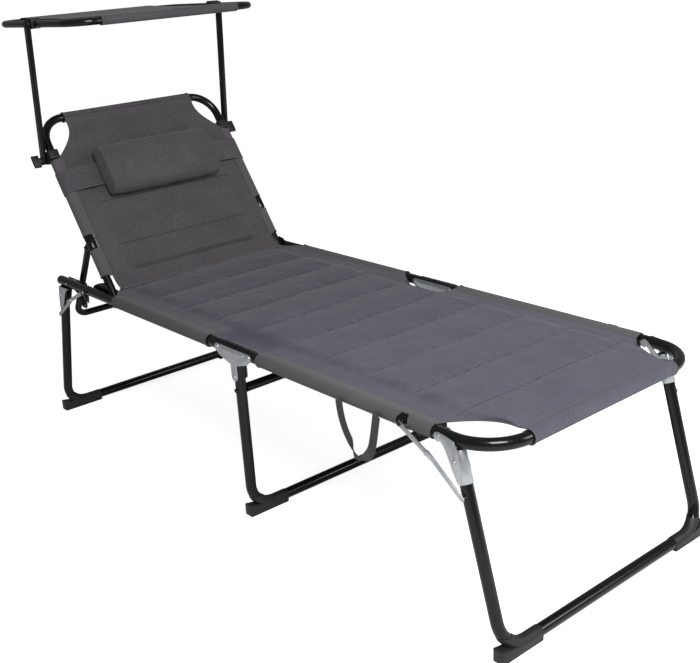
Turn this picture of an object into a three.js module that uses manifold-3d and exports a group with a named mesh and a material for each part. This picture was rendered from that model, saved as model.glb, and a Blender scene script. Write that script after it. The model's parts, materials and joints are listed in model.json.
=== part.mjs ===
// Folding three-leg sun lounger with a reclining backrest and a tilting canopy.
// Millimetres. +X runs from the head to the foot, +Y to the left of the person lying on it, +Z up.
// Parts that come in pairs are modelled on the left, and a mirroring group makes the right one.
import * as THREE from 'three';
import { mergeVertices } from 'three/addons/utils/BufferGeometryUtils.js';
import Module from 'manifold-3d';

const wasm = await Module();
wasm.setup();

// Driving dimensions: seat frame
const railRadius = 12.5;
const railHalfSpacing = 310;
const railHeight = 410;
const middleLegX = 857;
const hingeSpacing = 120;
const railGap = 5;
const footBarX = 1620;
const footBend = 95;

// Driving dimensions: legs
const legRadius = 12.5;
const legSlopeLevel = 320;
const headLegTopX = 0;
const headLegFloorX = -65;
const headLegFloorHalf = 318;
const footLegTopX = 1557;
const footLegFloorX = 1639.5;
const footLegFloorHalf = 313;
const legBend = 60;
const legBoltOffset = 32.5;
const crossBarRadius = 10.5;
const crossBarHeight = 318;

// Driving dimensions: backrest and prop
const backPivotX = 237;
const reclineAngle = 55;
const backRadius = 11;
const backHalfSpacing = 277;
const backLength = 525;
const backBend = 70;
const propRadius = 9;
const propPivotAlong = 150;
const propPivotBehind = 26;
const propBend = 34;
const propRestX = -4;
const propRestHeight = 296;
const propTail = 7;
const backTail = 14;
const backPanelStart = 8;
const tabInset = 4;
const tabEarRadius = 8;

// Driving dimensions: canopy
const postClampAlong = 418;
const postClampBehind = 20;
const postLength = 358;
const postDepth = 24;
const postWidth = 12;
const postLean = 4.3;
const canopyTubeRadius = 9;
const canopyHalfDepth = 228;
const canopyHalfWidth = 278;
const canopyBend = 67;
const canopyOffset = 5.7;
const canopyTilt = 1.2;
const clampWall = 2.5;
const clampHalfLength = 14;
const clampRound = 5;
const clampRise = 3;
const clampPinRadius = 3.5;
const postClearance = 1;
const knobReach = 13;
const knobWingHalf = 5;
const knobHubRadius = 9;
const knobHubLength = 12;
const knobLength = 24;
const knobBoreDepth = 8;

// Driving dimensions: fabric
const fabricWall = 2.4;
const sleeveGap = 0.6;
const panelThickness = 4;
const quiltCrown = 6;
const panelDrop = 1;
const quiltMargin = 60;
const seatSeamLast = 1478;
const seatSeamPitch = 134.1;
const seatSeamCount = 9;
const backSeamFirst = 124;
const backSeamPitch = 132;
const backSeamLower = 43;
const seatPanelStart = 252;
const seatSleeveStart = 312;
const middleOpeningStart = 750;
const middleOpeningEnd = 945;
const middleOpeningEdge = 246;
const sideSleeveEnd = 1483;
const footSleeveHalf = railHalfSpacing - footBend;
const stayHoleRadius = 16;
const tabOpeningStart = 127;
const tabOpeningEnd = 171;
const backSleeveStart = 20;
const backSleeveEnd = 402;
const topSleeveHalf = 203;
const backQuiltHalf = 215;
const handHoleCurve = 30;
const handHoleRise = 10;
const handHoleInset = 6;
const tuck = 9;
const quiltFade = 26;
const quiltStationShares = [0, 0.06, 0.2, 0.5, 0.8, 0.94];
const scallopSteps = 5;
const openingCurve = 40;
const cornerInset = 24;
const cornerRise = 8;
const cornerReach = 36;
const cornerRun = 53;
const cornerLift = 32;
const openSlack = 3.6;
const stayHoleInset = 4;
const canopyFabricHalf = 205;
const canopySag = 6;
const canopyThickness = 2.4;
const canopySteps = 12;

// Driving dimensions: pillow, band and carry strap
const pillowStart = 255;
const pillowEnd = 400;
const pillowHalfLength = 172;
const pillowHeight = 60;
const bandStart = 298;
const bandWidth = 66;
const bandThickness = 1.6;
const bandGap = 0.8;
const pillowOffset = -7;
const pillowSeam = 3;
const pillowUnder = 8;
const pillowCorner = 26;
const pillowStationShares = [-1, -0.96, -0.85, -0.65, -0.35, 0, 0.35, 0.65, 0.85, 0.96, 1];
const strapStart = 1226;
const strapEnd = 1358;
const strapLowest = 303;
const strapWidth = 22;
const strapThickness = 3;
const strapStandOff = 10;
const strapTopShare = 0.3;
const strapLowShare = 0.58;
const strapBendHeight = 340;

// Driving dimensions: sheet metal, pins and plugs
const plateThickness = 2;
const rivetRadius = 3;
const rivetHeadRadius = 5.2;
const hingePinRadius = 4;
const hingeHeadRadius = 7;
const headHeight = 1.8;
const linkThickness = 2.4;
const linkHalfWidth = 5;
const headStayUpper = 89;
const headStayRailX = 165;
const headStayLegHeight = 312;
const footStayUpper = 79.5;
const footStayRailX = 1406;
const footStayLegHeight = 308;
const linkOverrun = 21;
const gripThickness = 2.5;
const padWall = 1.2;
const padHeight = 45;
const padInnerHalf = 215;
const padHalfWidth = 12.4;
const padHeelHeight = 28;
const soleThickness = 1.8;
const plugLength = 3;
const spacerRadius = 5;
const staySlack = 0.6;
const collarWall = 1.5;
const bracketReach = 56;
const bracketDrop = 78;
const bracketLevel = 360;
const bracketRivetShare = 0.72;
const legLeanMost = 15;
const earCutAngle = 27;
const hingeEarRadius = 9;
const plateShoulder = 30;
const plateRivetDrop = 59;
const tongueHalfWidth = 11;
const tongueDrop = 58;
const ribInset = 22;
const ribHalfWidth = 2.5;
const ribHeight = 1.2;

// Driving dimensions: rack and pivot bracket
const rackStart = 15;
const rackLength = 105;
const rackLowest = 341;
const rackHeight = 77;
const rackBossInset = 8;
const pivotBracketStart = 160;
const pivotBracketHeight = 42;
const pivotBracketEdge = 8;
const pivotEarRadius = 17;

// Clearances
const touchGap = 0.3;
const runGap = 0.4;
const lap = 0.6;
const hemLap = 1.2;
const overrun = 2;
const weldTolerance = 0.0001;
const tubeSegmentsShare = 6;
const pinSides = 12;
const bendStepsShare = 6;
const arcSegmentsShare = 3;
const strapSegmentsShare = 7;

const blackPaint = new THREE.MeshStandardMaterial({ color: 0x1b1b1c, roughness: 0.3, metalness: 0.4 });
const zinc = new THREE.MeshStandardMaterial({ color: 0xc9ccce, roughness: 0.38, metalness: 0.85 });
const slingFabric = new THREE.MeshStandardMaterial({ color: 0x5c5a63, roughness: 0.9, metalness: 0 });
const canopyCloth = new THREE.MeshStandardMaterial({ color: 0x4c4b50, roughness: 0.9, metalness: 0 });
const blackPlastic = new THREE.MeshStandardMaterial({ color: 0x151516, roughness: 0.6, metalness: 0 });
const webbing = new THREE.MeshStandardMaterial({ color: 0x48464a, roughness: 0.85, metalness: 0 });

const radians = THREE.MathUtils.degToRad;

function point(x, y, z) {
  return new THREE.Vector3(x, y, z);
}

// A line through corner points whose inner corners are rounded by arcs of one bend radius.
class BentLine extends THREE.Curve {
  constructor(corners, bend, steps = bendStepsShare) {
    super();
    this.stations = [];
    this.tangents = [];
    const last = corners.length - 1;
    const start = corners[1].clone().sub(corners[0]).normalize();
    this.addStation(corners[0], start);
    for (let i = 1; i < last; i += 1) {
      this.addBend(corners[i - 1], corners[i], corners[i + 1], bend, steps);
    }
    const end = corners[last].clone().sub(corners[last - 1]).normalize();
    this.addStation(corners[last], end);
  }

  addStation(place, tangent) {
    this.stations.push(place.clone());
    this.tangents.push(tangent.clone());
  }

  addBend(before, corner, after, bend, steps) {
    const into = corner.clone().sub(before).normalize();
    const out = after.clone().sub(corner).normalize();
    const turn = into.angleTo(out);
    const setback = bend * Math.tan(turn / 2);
    const first = corner.clone().addScaledVector(into, -setback);
    const inward = out.clone().addScaledVector(into, -Math.cos(turn)).normalize();
    for (let i = 0; i <= steps; i += 1) {
      const angle = (turn * i) / steps;
      const place = first.clone().addScaledVector(into, bend * Math.sin(angle));
      place.addScaledVector(inward, bend * (1 - Math.cos(angle)));
      const tangent = into.clone().multiplyScalar(Math.cos(angle));
      tangent.addScaledVector(inward, Math.sin(angle));
      this.addStation(place, tangent);
    }
  }

  spread(list, t) {
    const at = t * (list.length - 1);
    const low = Math.min(Math.floor(at), list.length - 2);
    return list[low].clone().lerp(list[low + 1], at - low);
  }

  getPoint(t) {
    return this.spread(this.stations, t);
  }

  getPointAt(t) {
    return this.getPoint(t);
  }

  getTangent(t) {
    return this.spread(this.tangents, t).normalize();
  }

  getTangentAt(t) {
    return this.getTangent(t);
  }

  get steps() {
    return this.stations.length - 1;
  }
}

// A round bar along a bent line, or a sleeve where a bore is given.
function tube(line, radius, bore = 0) {
  const section = new THREE.Shape();
  section.absarc(0, 0, radius, 0, 2 * Math.PI);
  if (bore > 0) {
    const hole = new THREE.Path();
    hole.absarc(0, 0, bore, 0, 2 * Math.PI, true);
    section.holes.push(hole);
  }
  return new THREE.ExtrudeGeometry(section, {
    steps: line.steps,
    curveSegments: tubeSegmentsShare,
    extrudePath: line,
  });
}

function straightTube(from, to, radius, bore = 0) {
  return tube(new BentLine([from, to], 0), radius, bore);
}

// A round pin along Y at a place of the side view.
function pin(radius, x, z, yFrom, yTo) {
  const length = Math.abs(yTo - yFrom);
  const geometry = new THREE.CylinderGeometry(radius, radius, length, pinSides);
  return geometry.translate(x, (yFrom + yTo) / 2, z);
}

// A flat plate whose outline is drawn in the side view, X and Z, between two values of Y.
function sidePlate(outline, yFrom, yTo, curveSegments = arcSegmentsShare) {
  const depth = yTo - yFrom;
  const geometry = new THREE.ExtrudeGeometry(outline, { depth, bevelEnabled: false, curveSegments });
  return geometry.rotateX(Math.PI / 2).translate(0, yTo, 0);
}

// A plate whose outline is drawn in the plan view, X and Y, between two heights.
function planPlate(outline, zFrom, zTo) {
  const depth = zTo - zFrom;
  const geometry = new THREE.ExtrudeGeometry(outline, {
    depth,
    bevelEnabled: false,
    curveSegments: arcSegmentsShare,
  });
  return geometry.translate(0, 0, zFrom);
}

function polygon(corners) {
  return new THREE.Shape(corners.map(([x, y]) => new THREE.Vector2(x, y)));
}

function box(xFrom, xTo, yFrom, yTo, zFrom, zTo) {
  const geometry = new THREE.BoxGeometry(xTo - xFrom, yTo - yFrom, zTo - zFrom);
  return geometry.translate((xFrom + xTo) / 2, (yFrom + yTo) / 2, (zFrom + zTo) / 2);
}

// A slab over a grid of X and Y stations, with a function for its upper and its lower face.
function slab(xs, ys, topAt, bottomAt) {
  const places = [];
  for (const levelAt of [topAt, bottomAt]) {
    for (const x of xs) {
      for (const y of ys) places.push(x, y, levelAt(x, y));
    }
  }
  const across = ys.length;
  const layer = xs.length * across;
  const index = [];
  const quad = (a, b, c, d) => index.push(a, b, c, a, c, d);
  for (let i = 0; i < xs.length - 1; i += 1) {
    for (let j = 0; j < across - 1; j += 1) {
      const corner = i * across + j;
      quad(corner, corner + across, corner + across + 1, corner + 1);
      const below = corner + layer;
      quad(below, below + 1, below + across + 1, below + across);
    }
    const low = i * across;
    quad(low + layer, low + across + layer, low + across, low);
    const high = low + across - 1;
    quad(high + across + layer, high + layer, high, high + across);
  }
  for (let j = 0; j < across - 1; j += 1) {
    quad(j + 1 + layer, j + layer, j, j + 1);
    const end = layer - across + j;
    quad(end + layer, end + 1 + layer, end + 1, end);
  }
  const geometry = new THREE.BufferGeometry();
  geometry.setAttribute('position', new THREE.Float32BufferAttribute(places, 3));
  geometry.setIndex(index);
  return geometry;
}

function solidOf(geometry) {
  const bare = geometry.clone();
  bare.deleteAttribute('normal');
  bare.deleteAttribute('uv');
  const merged = mergeVertices(bare, weldTolerance);
  const mesh = new wasm.Mesh({
    numProp: 3,
    vertProperties: new Float32Array(merged.attributes.position.array),
    triVerts: new Uint32Array(merged.index.array),
  });
  return new wasm.Manifold(mesh);
}

function geometryOf(solid) {
  const mesh = solid.getMesh();
  const geometry = new THREE.BufferGeometry();
  geometry.setAttribute('position', new THREE.BufferAttribute(mesh.vertProperties, 3));
  geometry.setIndex(new THREE.BufferAttribute(mesh.triVerts, 1));
  return geometry;
}

function joined(first, ...others) {
  const solid = others.reduce((sum, other) => sum.add(solidOf(other)), solidOf(first));
  return geometryOf(solid);
}

function cut(first, ...tools) {
  const solid = tools.reduce((rest, tool) => rest.subtract(solidOf(tool)), solidOf(first));
  return geometryOf(solid);
}

function common(first, second) {
  return geometryOf(solidOf(first).intersect(solidOf(second)));
}

function piece(name, geometry, material, parent) {
  const mesh = new THREE.Mesh(geometry, material);
  mesh.name = name;
  parent.add(mesh);
  return mesh;
}

// Runs a maker for the left side and, inside a mirroring group, for the right side.
function bothSides(parent, make) {
  for (const [side, sign] of [['left', 1], ['right', -1]]) {
    const half = new THREE.Group();
    half.scale.y = sign;
    parent.add(half);
    make(half, side);
  }
}

// Evenly spaced stations from one value to another, both included.
function spaced(from, to, count) {
  return Array.from({ length: count + 1 }, (unused, i) => from + ((to - from) * i) / count);
}

// Places that follow from the driving dimensions
const headHingeX = middleLegX - hingeSpacing / 2;
const footHingeX = middleLegX + hingeSpacing / 2;
const railFace = railHalfSpacing + railRadius;
const railInner = railHalfSpacing - railRadius;
const cheekFace = railFace + touchGap;
const cheekOuter = cheekFace + plateThickness;
const cheekInner = railInner - touchGap;
const lowerLinkFace = cheekOuter + headHeight + runGap;
const lowerLinkOuter = lowerLinkFace + linkThickness;
const upperLinkFace = lowerLinkOuter + touchGap;
const upperLinkOuter = upperLinkFace + linkThickness;
const linkHole = rivetRadius + runGap;
const hingeHole = hingePinRadius + runGap;
const gripFace = backHalfSpacing + backRadius + fabricWall + sleeveGap + runGap;
const gripOuter = gripFace + gripThickness;
const propTop = new THREE.Vector2(-propPivotAlong, -propPivotBehind)
  .rotateAround(new THREE.Vector2(0, 0), -radians(reclineAngle))
  .add(new THREE.Vector2(backPivotX, railHeight));
const propFoot = new THREE.Vector2(propRestX, propRestHeight);
const propLength = propTop.distanceTo(propFoot);
const propTurn = -Math.atan2(propTop.y - propFoot.y, propTop.x - propFoot.x);
const barHeight = soleThickness + padWall + legRadius;
const innerHead = [cheekInner - plateThickness - headHeight, cheekInner - plateThickness + touchGap];

// A leg frame: a U of tube in a sloping plane, drawn from its slope line and its floor bar.
function legFrame(topX, floorX, floorHalf, topHeight) {
  const slope = (topX - floorX) / (legSlopeLevel - barHeight);
  const tilt = Math.atan(slope);
  const spread = (railHalfSpacing - floorHalf) / (bracketLevel - barHeight);
  const xAt = (z) => floorX + (z - barHeight) * slope;
  const yAt = (z) => floorHalf + (z - barHeight) * spread;
  const boltSide = Math.sign(topX - floorX) || 1;
  const boltX = xAt(railHeight) + (boltSide * legBoltOffset) / Math.cos(tilt);
  const corners = [
    point(xAt(topHeight), -yAt(topHeight), topHeight),
    point(floorX, -floorHalf, barHeight),
    point(floorX, floorHalf, barHeight),
    point(xAt(topHeight), yAt(topHeight), topHeight),
  ];
  const line = new BentLine(corners, legBend);
  return { floorX, floorHalf, xAt, yAt, boltX, boltSide, line };
}

const legTopHeight = railHeight - railRadius - legRadius * Math.sin(radians(legLeanMost)) - touchGap;
const legTubeTop = legTopHeight - plugLength - touchGap;
const headLeg = legFrame(headLegTopX, headLegFloorX, headLegFloorHalf, legTubeTop);
const footLeg = legFrame(footLegTopX, footLegFloorX, footLegFloorHalf, legTubeTop);
const middleTop = railHeight - railRadius - touchGap - overrun;
const middleLeg = legFrame(middleLegX, middleLegX, railHalfSpacing, middleTop);

// A boot of plastic round each floor corner, with a flat sole on the ground.
function footPad(leg) {
  const wrap = legRadius + padWall;
  const reach = leg.floorHalf + legBend;
  const spread = legBend + padHeight;
  const lip = leg.floorHalf + wrap;
  const profile = polygon([
    [padInnerHalf, 0], [lip, 0], [lip, padHeelHeight], [leg.floorHalf - legBend, barHeight],
    [padInnerHalf, barHeight],
  ]);
  const sole = new THREE.ExtrudeGeometry(profile, { depth: 2 * padHalfWidth, bevelEnabled: false });
  sole.rotateX(Math.PI / 2).rotateZ(Math.PI / 2).translate(leg.floorX - padHalfWidth, 0, 0);
  const room = box(leg.floorX - spread, leg.floorX + spread, padInnerHalf, reach, 0, padHeight);
  const shell = common(joined(tube(leg.line, wrap), sole), room);
  return cut(shell, tube(leg.line, legRadius + touchGap));
}

// The point where two links of given lengths meet, above the line between their far ends.
function elbow(from, to, first, second) {
  const reach = from.distanceTo(to);
  const along = (first ** 2 - second ** 2 + reach ** 2) / (2 * reach);
  const rise = Math.sqrt(Math.max(first ** 2 - along ** 2, 0));
  const way = to.clone().sub(from).normalize();
  const up = new THREE.Vector2(-way.y, way.x);
  if (up.y < 0) up.negate();
  return from.clone().addScaledVector(way, along).addScaledVector(up, rise);
}

// An outline of shares, laid over a rectangle of the side view.
function outlineOver(shares, x, z, length, height) {
  return polygon(shares.map(([u, v]) => [x + u * length, z + v * height]));
}

// A flat bar with round ends between two places of the side view.
function roundBar(from, to, halfWidth) {
  const angle = Math.atan2(to.y - from.y, to.x - from.x);
  const shape = new THREE.Shape();
  const quarter = Math.PI / 2;
  shape.absarc(to.x, to.y, halfWidth, angle - quarter, angle + quarter);
  shape.absarc(from.x, from.y, halfWidth, angle + quarter, angle + 3 * quarter);
  return shape;
}

// Ends of the folding stays, on the rails and on the legs
const placeOnLeg = (leg, height) => new THREE.Vector2(leg.xAt(height), height);
const headStayTop = new THREE.Vector2(headStayRailX, railHeight);
const headStayEnd = placeOnLeg(headLeg, headStayLegHeight);
const footStayTop = new THREE.Vector2(footStayRailX, railHeight);
const footStayEnd = placeOnLeg(footLeg, footStayLegHeight);

// The rivet on a rail that carries a stay: a spacer, a shank and a head.
function stayRivet(x) {
  return joined(
    pin(spacerRadius, x, railHeight, railHalfSpacing, lowerLinkOuter),
    pin(rivetRadius, x, railHeight, railHalfSpacing, upperLinkOuter + lap),
    pin(rivetHeadRadius, x, railHeight, upperLinkOuter + touchGap, upperLinkOuter + headHeight),
  );
}

// Head half of the seat frame
function makeHeadRail(parent, side) {
  const start = plugLength + touchGap;
  const end = middleLegX - railGap / 2;
  const rail = straightTube(
    point(start, railHalfSpacing, railHeight),
    point(end, railHalfSpacing, railHeight),
    railRadius,
  );
  const through = [railInner - overrun, railFace + overrun];
  const bored = cut(
    rail,
    pin(hingeHole, headHingeX, railHeight, ...through),
    pin(hingeHole, headLeg.boltX, railHeight, ...through),
  );
  piece(`head_rail_${side}`, joined(bored, stayRivet(headStayRailX)), blackPaint, parent);
  const plug = straightTube(
    point(0, railHalfSpacing, railHeight),
    point(plugLength, railHalfSpacing, railHeight),
    railRadius,
  );
  piece(`head_rail_plug_${side}`, plug, blackPlastic, parent);
}

// The toothed plate that the prop bar of the backrest rests under
const rackShares = [
  [0, 1], [0, 0.64], [0.1, 0.61], [0.44, 0.43], [0.54, 0.05], [0.6, 0], [0.78, 0],
  [0.84, 0.08], [0.89, 0.34], [0.97, 0.24], [1, 0.4], [1, 1],
];

function makeRack(parent, side) {
  const shape = outlineOver(rackShares, rackStart, rackLowest, rackLength, rackHeight);
  const rack = joined(
    sidePlate(shape, gripFace, gripOuter),
    pin(spacerRadius, rackStart + rackBossInset, railHeight, gripFace, cheekInner),
    pin(spacerRadius, rackStart + rackLength - rackBossInset, railHeight, gripFace, cheekInner),
  );
  piece(`backrest_rack_${side}`, rack, blackPaint, parent);
}

// The bracket that carries the backrest, with its pin
function makePivotBracket(parent, side) {
  const low = railHeight - railRadius;
  const shape = new THREE.Shape();
  shape.moveTo(pivotBracketStart, low);
  shape.lineTo(backPivotX + pivotEarRadius, low);
  shape.lineTo(backPivotX + pivotEarRadius, railHeight);
  shape.quadraticCurveTo(
    backPivotX + pivotEarRadius, low + pivotBracketHeight,
    backPivotX - pivotEarRadius, low + pivotBracketHeight,
  );
  shape.quadraticCurveTo(
    pivotBracketStart + pivotEarRadius / 2, railHeight + pivotEarRadius,
    pivotBracketStart, railHeight + pivotBracketEdge,
  );
  const neck = backHalfSpacing - backRadius - lap;
  const bracket = joined(
    sidePlate(shape, gripFace, gripOuter),
    pin(hingePinRadius, backPivotX, railHeight, neck - headHeight, gripOuter),
    pin(hingeHeadRadius, backPivotX, railHeight, neck - headHeight, neck),
    pin(spacerRadius, backPivotX, railHeight, gripFace, cheekInner),
    pin(spacerRadius, pivotBracketStart + pivotEarRadius, railHeight, gripFace, cheekInner),
  );
  piece(`backrest_pivot_bracket_${side}`, bracket, blackPaint, parent);
}

// Height of the quilting above the flat panel: a crown in each channel, faded out at the sides.
function quiltAt(seams, halfWidth) {
  return (x, y) => {
    const fade = Math.min(Math.max((halfWidth - Math.abs(y)) / quiltFade, 0), 1);
    for (let i = 0; i < seams.length - 1; i += 1) {
      const share = (x - seams[i]) / (seams[i + 1] - seams[i]);
      if (share >= 0 && share <= 1) {
        return quiltCrown * Math.sqrt(Math.sin(Math.PI * share)) * Math.sin((fade * Math.PI) / 2);
      }
    }
    return 0;
  };
}

// A quilted panel cut to its plan outline. The seams are listed from the lowest X to the highest.
function quiltedPanel(outline, seams, halfWidth, xFrom, xTo, bottom) {
  const top = bottom + panelThickness;
  const crown = quiltAt(seams, halfWidth);
  const channel = seams[1] - seams[0];
  const xs = [xFrom, xTo];
  for (const seam of seams) {
    for (const share of quiltStationShares) xs.push(seam + share * channel);
  }
  const inside = xs.filter((x) => x >= xFrom && x <= xTo).sort((a, b) => a - b);
  const apart = inside.filter((x, i) => i === 0 || x - inside[i - 1] > touchGap);
  const edge = railHalfSpacing;
  const half = [quiltFade, quiltFade / 2, 0].map((inset) => halfWidth - inset);
  const ys = [-edge, ...half.map((y) => -y).reverse(), 0, ...half, edge];
  const body = slab(apart, ys, (x, y) => top + crown(x, y), () => bottom);
  return common(body, planPlate(outline, bottom - quiltCrown, top + quiltCrown * 2));
}

// The same outline on both sides of the centre line, from a list of places on the left side.
function mirroredOutline(leftPlaces) {
  const right = leftPlaces.map(([x, y]) => [x, -y]).reverse();
  return polygon([...leftPlaces, ...right]);
}

// Places along an eased curve between two corners of a panel, hollow towards the panel.
function scallop(from, to, corner) {
  const curve = new THREE.QuadraticBezierCurve(
    new THREE.Vector2(...from), new THREE.Vector2(...corner), new THREE.Vector2(...to),
  );
  return curve.getPoints(scallopSteps).map((place) => [place.x, place.y]);
}

const sleeveBore = railRadius + sleeveGap;
const sleeveOuter = sleeveBore + fabricWall;
const tuckedEdge = railHalfSpacing - tuck;
const seatPanelBottom = railHeight + railRadius - panelThickness - panelDrop;
const seatSeams = Array.from(
  { length: seatSeamCount },
  (unused, i) => seatSeamLast - seatSeamPitch * (seatSeamCount - 1 - i),
);
const seatQuiltHalf = railHalfSpacing - quiltMargin;
const slingMeeting = touchGap / 2;

function makeHeadSling(parent) {
  const meeting = middleLegX - slingMeeting;
  const startHalf = backHalfSpacing - backRadius - openSlack;
  const places = [
    [seatPanelStart, startHalf],
    [seatSleeveStart, tuckedEdge],
    ...scallop(
      [middleOpeningStart, tuckedEdge],
      [middleOpeningStart + openingCurve, middleOpeningEdge],
      [middleOpeningStart, middleOpeningEdge],
    ),
    [meeting, middleOpeningEdge],
  ];
  const panel = quiltedPanel(
    mirroredOutline(places), seatSeams, seatQuiltHalf, seatPanelStart, meeting, seatPanelBottom,
  );
  const sleeves = [1, -1].map((side) => straightTube(
    point(seatSleeveStart, side * railHalfSpacing, railHeight),
    point(middleOpeningStart, side * railHalfSpacing, railHeight),
    sleeveOuter,
  ));
  const bores = [1, -1].map((side) => straightTube(
    point(seatSleeveStart - overrun, side * railHalfSpacing, railHeight),
    point(middleOpeningStart + overrun, side * railHalfSpacing, railHeight),
    sleeveBore,
  ));
  piece('seat_sling_head', cut(joined(panel, ...sleeves), ...bores), slingFabric, parent);
}

// Middle hinge: two pairs of plates, the middle leg and its cross bar
function hingePlateShape() {
  const ear = hingeEarRadius;
  const top = railHeight + ear;
  const shape = new THREE.Shape();
  shape.moveTo(middleLegX - tongueHalfWidth, railHeight - plateShoulder);
  shape.lineTo(headHingeX + ear, railHeight - ear * 2);
  shape.lineTo(headHingeX - ear, railHeight - ear / 2);
  shape.absarc(headHingeX, railHeight, ear, radians(earCutAngle) - Math.PI, -1.5 * Math.PI, true);
  shape.lineTo(footHingeX, top);
  shape.absarc(footHingeX, railHeight, ear, Math.PI / 2, -radians(earCutAngle), true);
  shape.lineTo(footHingeX + ear, railHeight - ear / 2);
  shape.lineTo(footHingeX - ear, railHeight - ear * 2);
  shape.lineTo(middleLegX + tongueHalfWidth, railHeight - plateShoulder);
  shape.absarc(middleLegX, railHeight - tongueDrop, tongueHalfWidth, 0, -Math.PI, true);
  return shape;
}

function makeHingePlates(parent, side) {
  const shape = hingePlateShape();
  const rivetZ = railHeight - plateRivetDrop;
  const pinEnd = cheekInner + touchGap;
  const outer = [sidePlate(shape, cheekFace, cheekOuter)];
  const inner = [sidePlate(shape, cheekInner - plateThickness, cheekInner)];
  for (const x of [headHingeX, footHingeX]) {
    outer.push(pin(hingePinRadius, x, railHeight, pinEnd, cheekOuter));
    outer.push(pin(hingeHeadRadius, x, railHeight, cheekOuter - touchGap, cheekOuter + headHeight));
    inner.push(pin(rivetHeadRadius, x, railHeight, ...innerHead));
  }
  outer.push(pin(rivetHeadRadius, middleLegX, rivetZ, cheekOuter - touchGap, cheekOuter + headHeight));
  const rib = sidePlate(
    roundBar(
      new THREE.Vector2(headHingeX + ribInset, railHeight),
      new THREE.Vector2(footHingeX - ribInset, railHeight),
      ribHalfWidth,
    ),
    cheekOuter - touchGap, cheekOuter + ribHeight,
  );
  piece(`mid_plate_outer_${side}`, joined(...outer, rib), zinc, parent);
  piece(`mid_plate_inner_${side}`, joined(...inner), zinc, parent);
}

function makeMiddleLeg(parent) {
  const screws = [1, -1].map((side) => pin(
    rivetHeadRadius, middleLegX, crossBarHeight,
    side * railHalfSpacing, side * (railFace + headHeight),
  ));
  piece('middle_leg', joined(tube(middleLeg.line, legRadius), ...screws), blackPaint, parent);
  const end = railInner - touchGap;
  const bar = straightTube(
    point(middleLegX, -end, crossBarHeight),
    point(middleLegX, end, crossBarHeight),
    crossBarRadius,
  );
  piece('middle_crossbar', bar, blackPaint, parent);
}

function makeFootPads(name, leg, parent) {
  bothSides(parent, (half, side) => {
    piece(`${name}_foot_pad_${side}`, footPad(leg), blackPlastic, half);
  });
}

// Foot half of the seat frame
const footFrameStart = middleLegX + railGap / 2;
const footFrameLine = new BentLine([
  point(footFrameStart, -railHalfSpacing, railHeight),
  point(footBarX, -railHalfSpacing, railHeight),
  point(footBarX, railHalfSpacing, railHeight),
  point(footFrameStart, railHalfSpacing, railHeight),
], footBend);

function mirroredSolid(solid) {
  return solid.mirror([0, 1, 0]);
}

function makeFootFrame(parent) {
  const through = [railInner - overrun, railFace + overrun];
  const hole = solidOf(pin(hingeHole, footHingeX, railHeight, ...through))
    .add(solidOf(pin(hingeHole, footLeg.boltX, railHeight, ...through)));
  const rivet = solidOf(stayRivet(footStayRailX));
  const bar = solidOf(tube(footFrameLine, railRadius))
    .subtract(hole).subtract(mirroredSolid(hole))
    .add(rivet).add(mirroredSolid(rivet));
  piece('foot_frame', geometryOf(bar), blackPaint, parent);
}

function makeFootSling(parent) {
  const meeting = middleLegX + slingMeeting;
  const cornerStart = sideSleeveEnd;
  const barEdge = footBarX - tuck;
  const cornerInner = footSleeveHalf + cornerRise;
  const places = [
    [meeting, middleOpeningEdge],
    ...scallop(
      [middleOpeningEnd - openingCurve, middleOpeningEdge],
      [middleOpeningEnd, tuckedEdge],
      [middleOpeningEnd, middleOpeningEdge],
    ),
    [cornerStart, tuckedEdge],
    [cornerStart, railHalfSpacing - cornerInset],
    ...scallop(
      [cornerStart + cornerInset, railHalfSpacing - cornerReach],
      [barEdge - cornerReach, cornerInner],
      [cornerStart + cornerRun, cornerInner + cornerLift],
    ),
    [barEdge, footSleeveHalf],
  ];
  const panel = quiltedPanel(
    mirroredOutline(places), [...seatSeams, footBarX], seatQuiltHalf, meeting, barEdge, seatPanelBottom,
  );
  const solids = [panel];
  const bores = [];
  for (const side of [1, -1]) {
    const from = point(middleOpeningEnd, side * railHalfSpacing, railHeight);
    const to = point(sideSleeveEnd, side * railHalfSpacing, railHeight);
    solids.push(straightTube(from, to, sleeveOuter));
    from.x -= overrun;
    to.x += overrun;
    bores.push(straightTube(from, to, sleeveBore));
    const face = side * (railHalfSpacing + stayHoleInset);
    bores.push(pin(stayHoleRadius, footStayRailX, railHeight, face, side * (railFace + stayHoleRadius)));
  }
  const footEnds = [-1, 1].map((side) => point(footBarX, side * footSleeveHalf, railHeight));
  solids.push(straightTube(...footEnds, sleeveOuter));
  const boreEnds = [-1, 1].map((side) => point(footBarX, side * (footSleeveHalf + overrun), railHeight));
  bores.push(straightTube(...boreEnds, sleeveBore));
  piece('seat_sling_foot', cut(joined(...solids), ...bores), slingFabric, parent);
}

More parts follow.
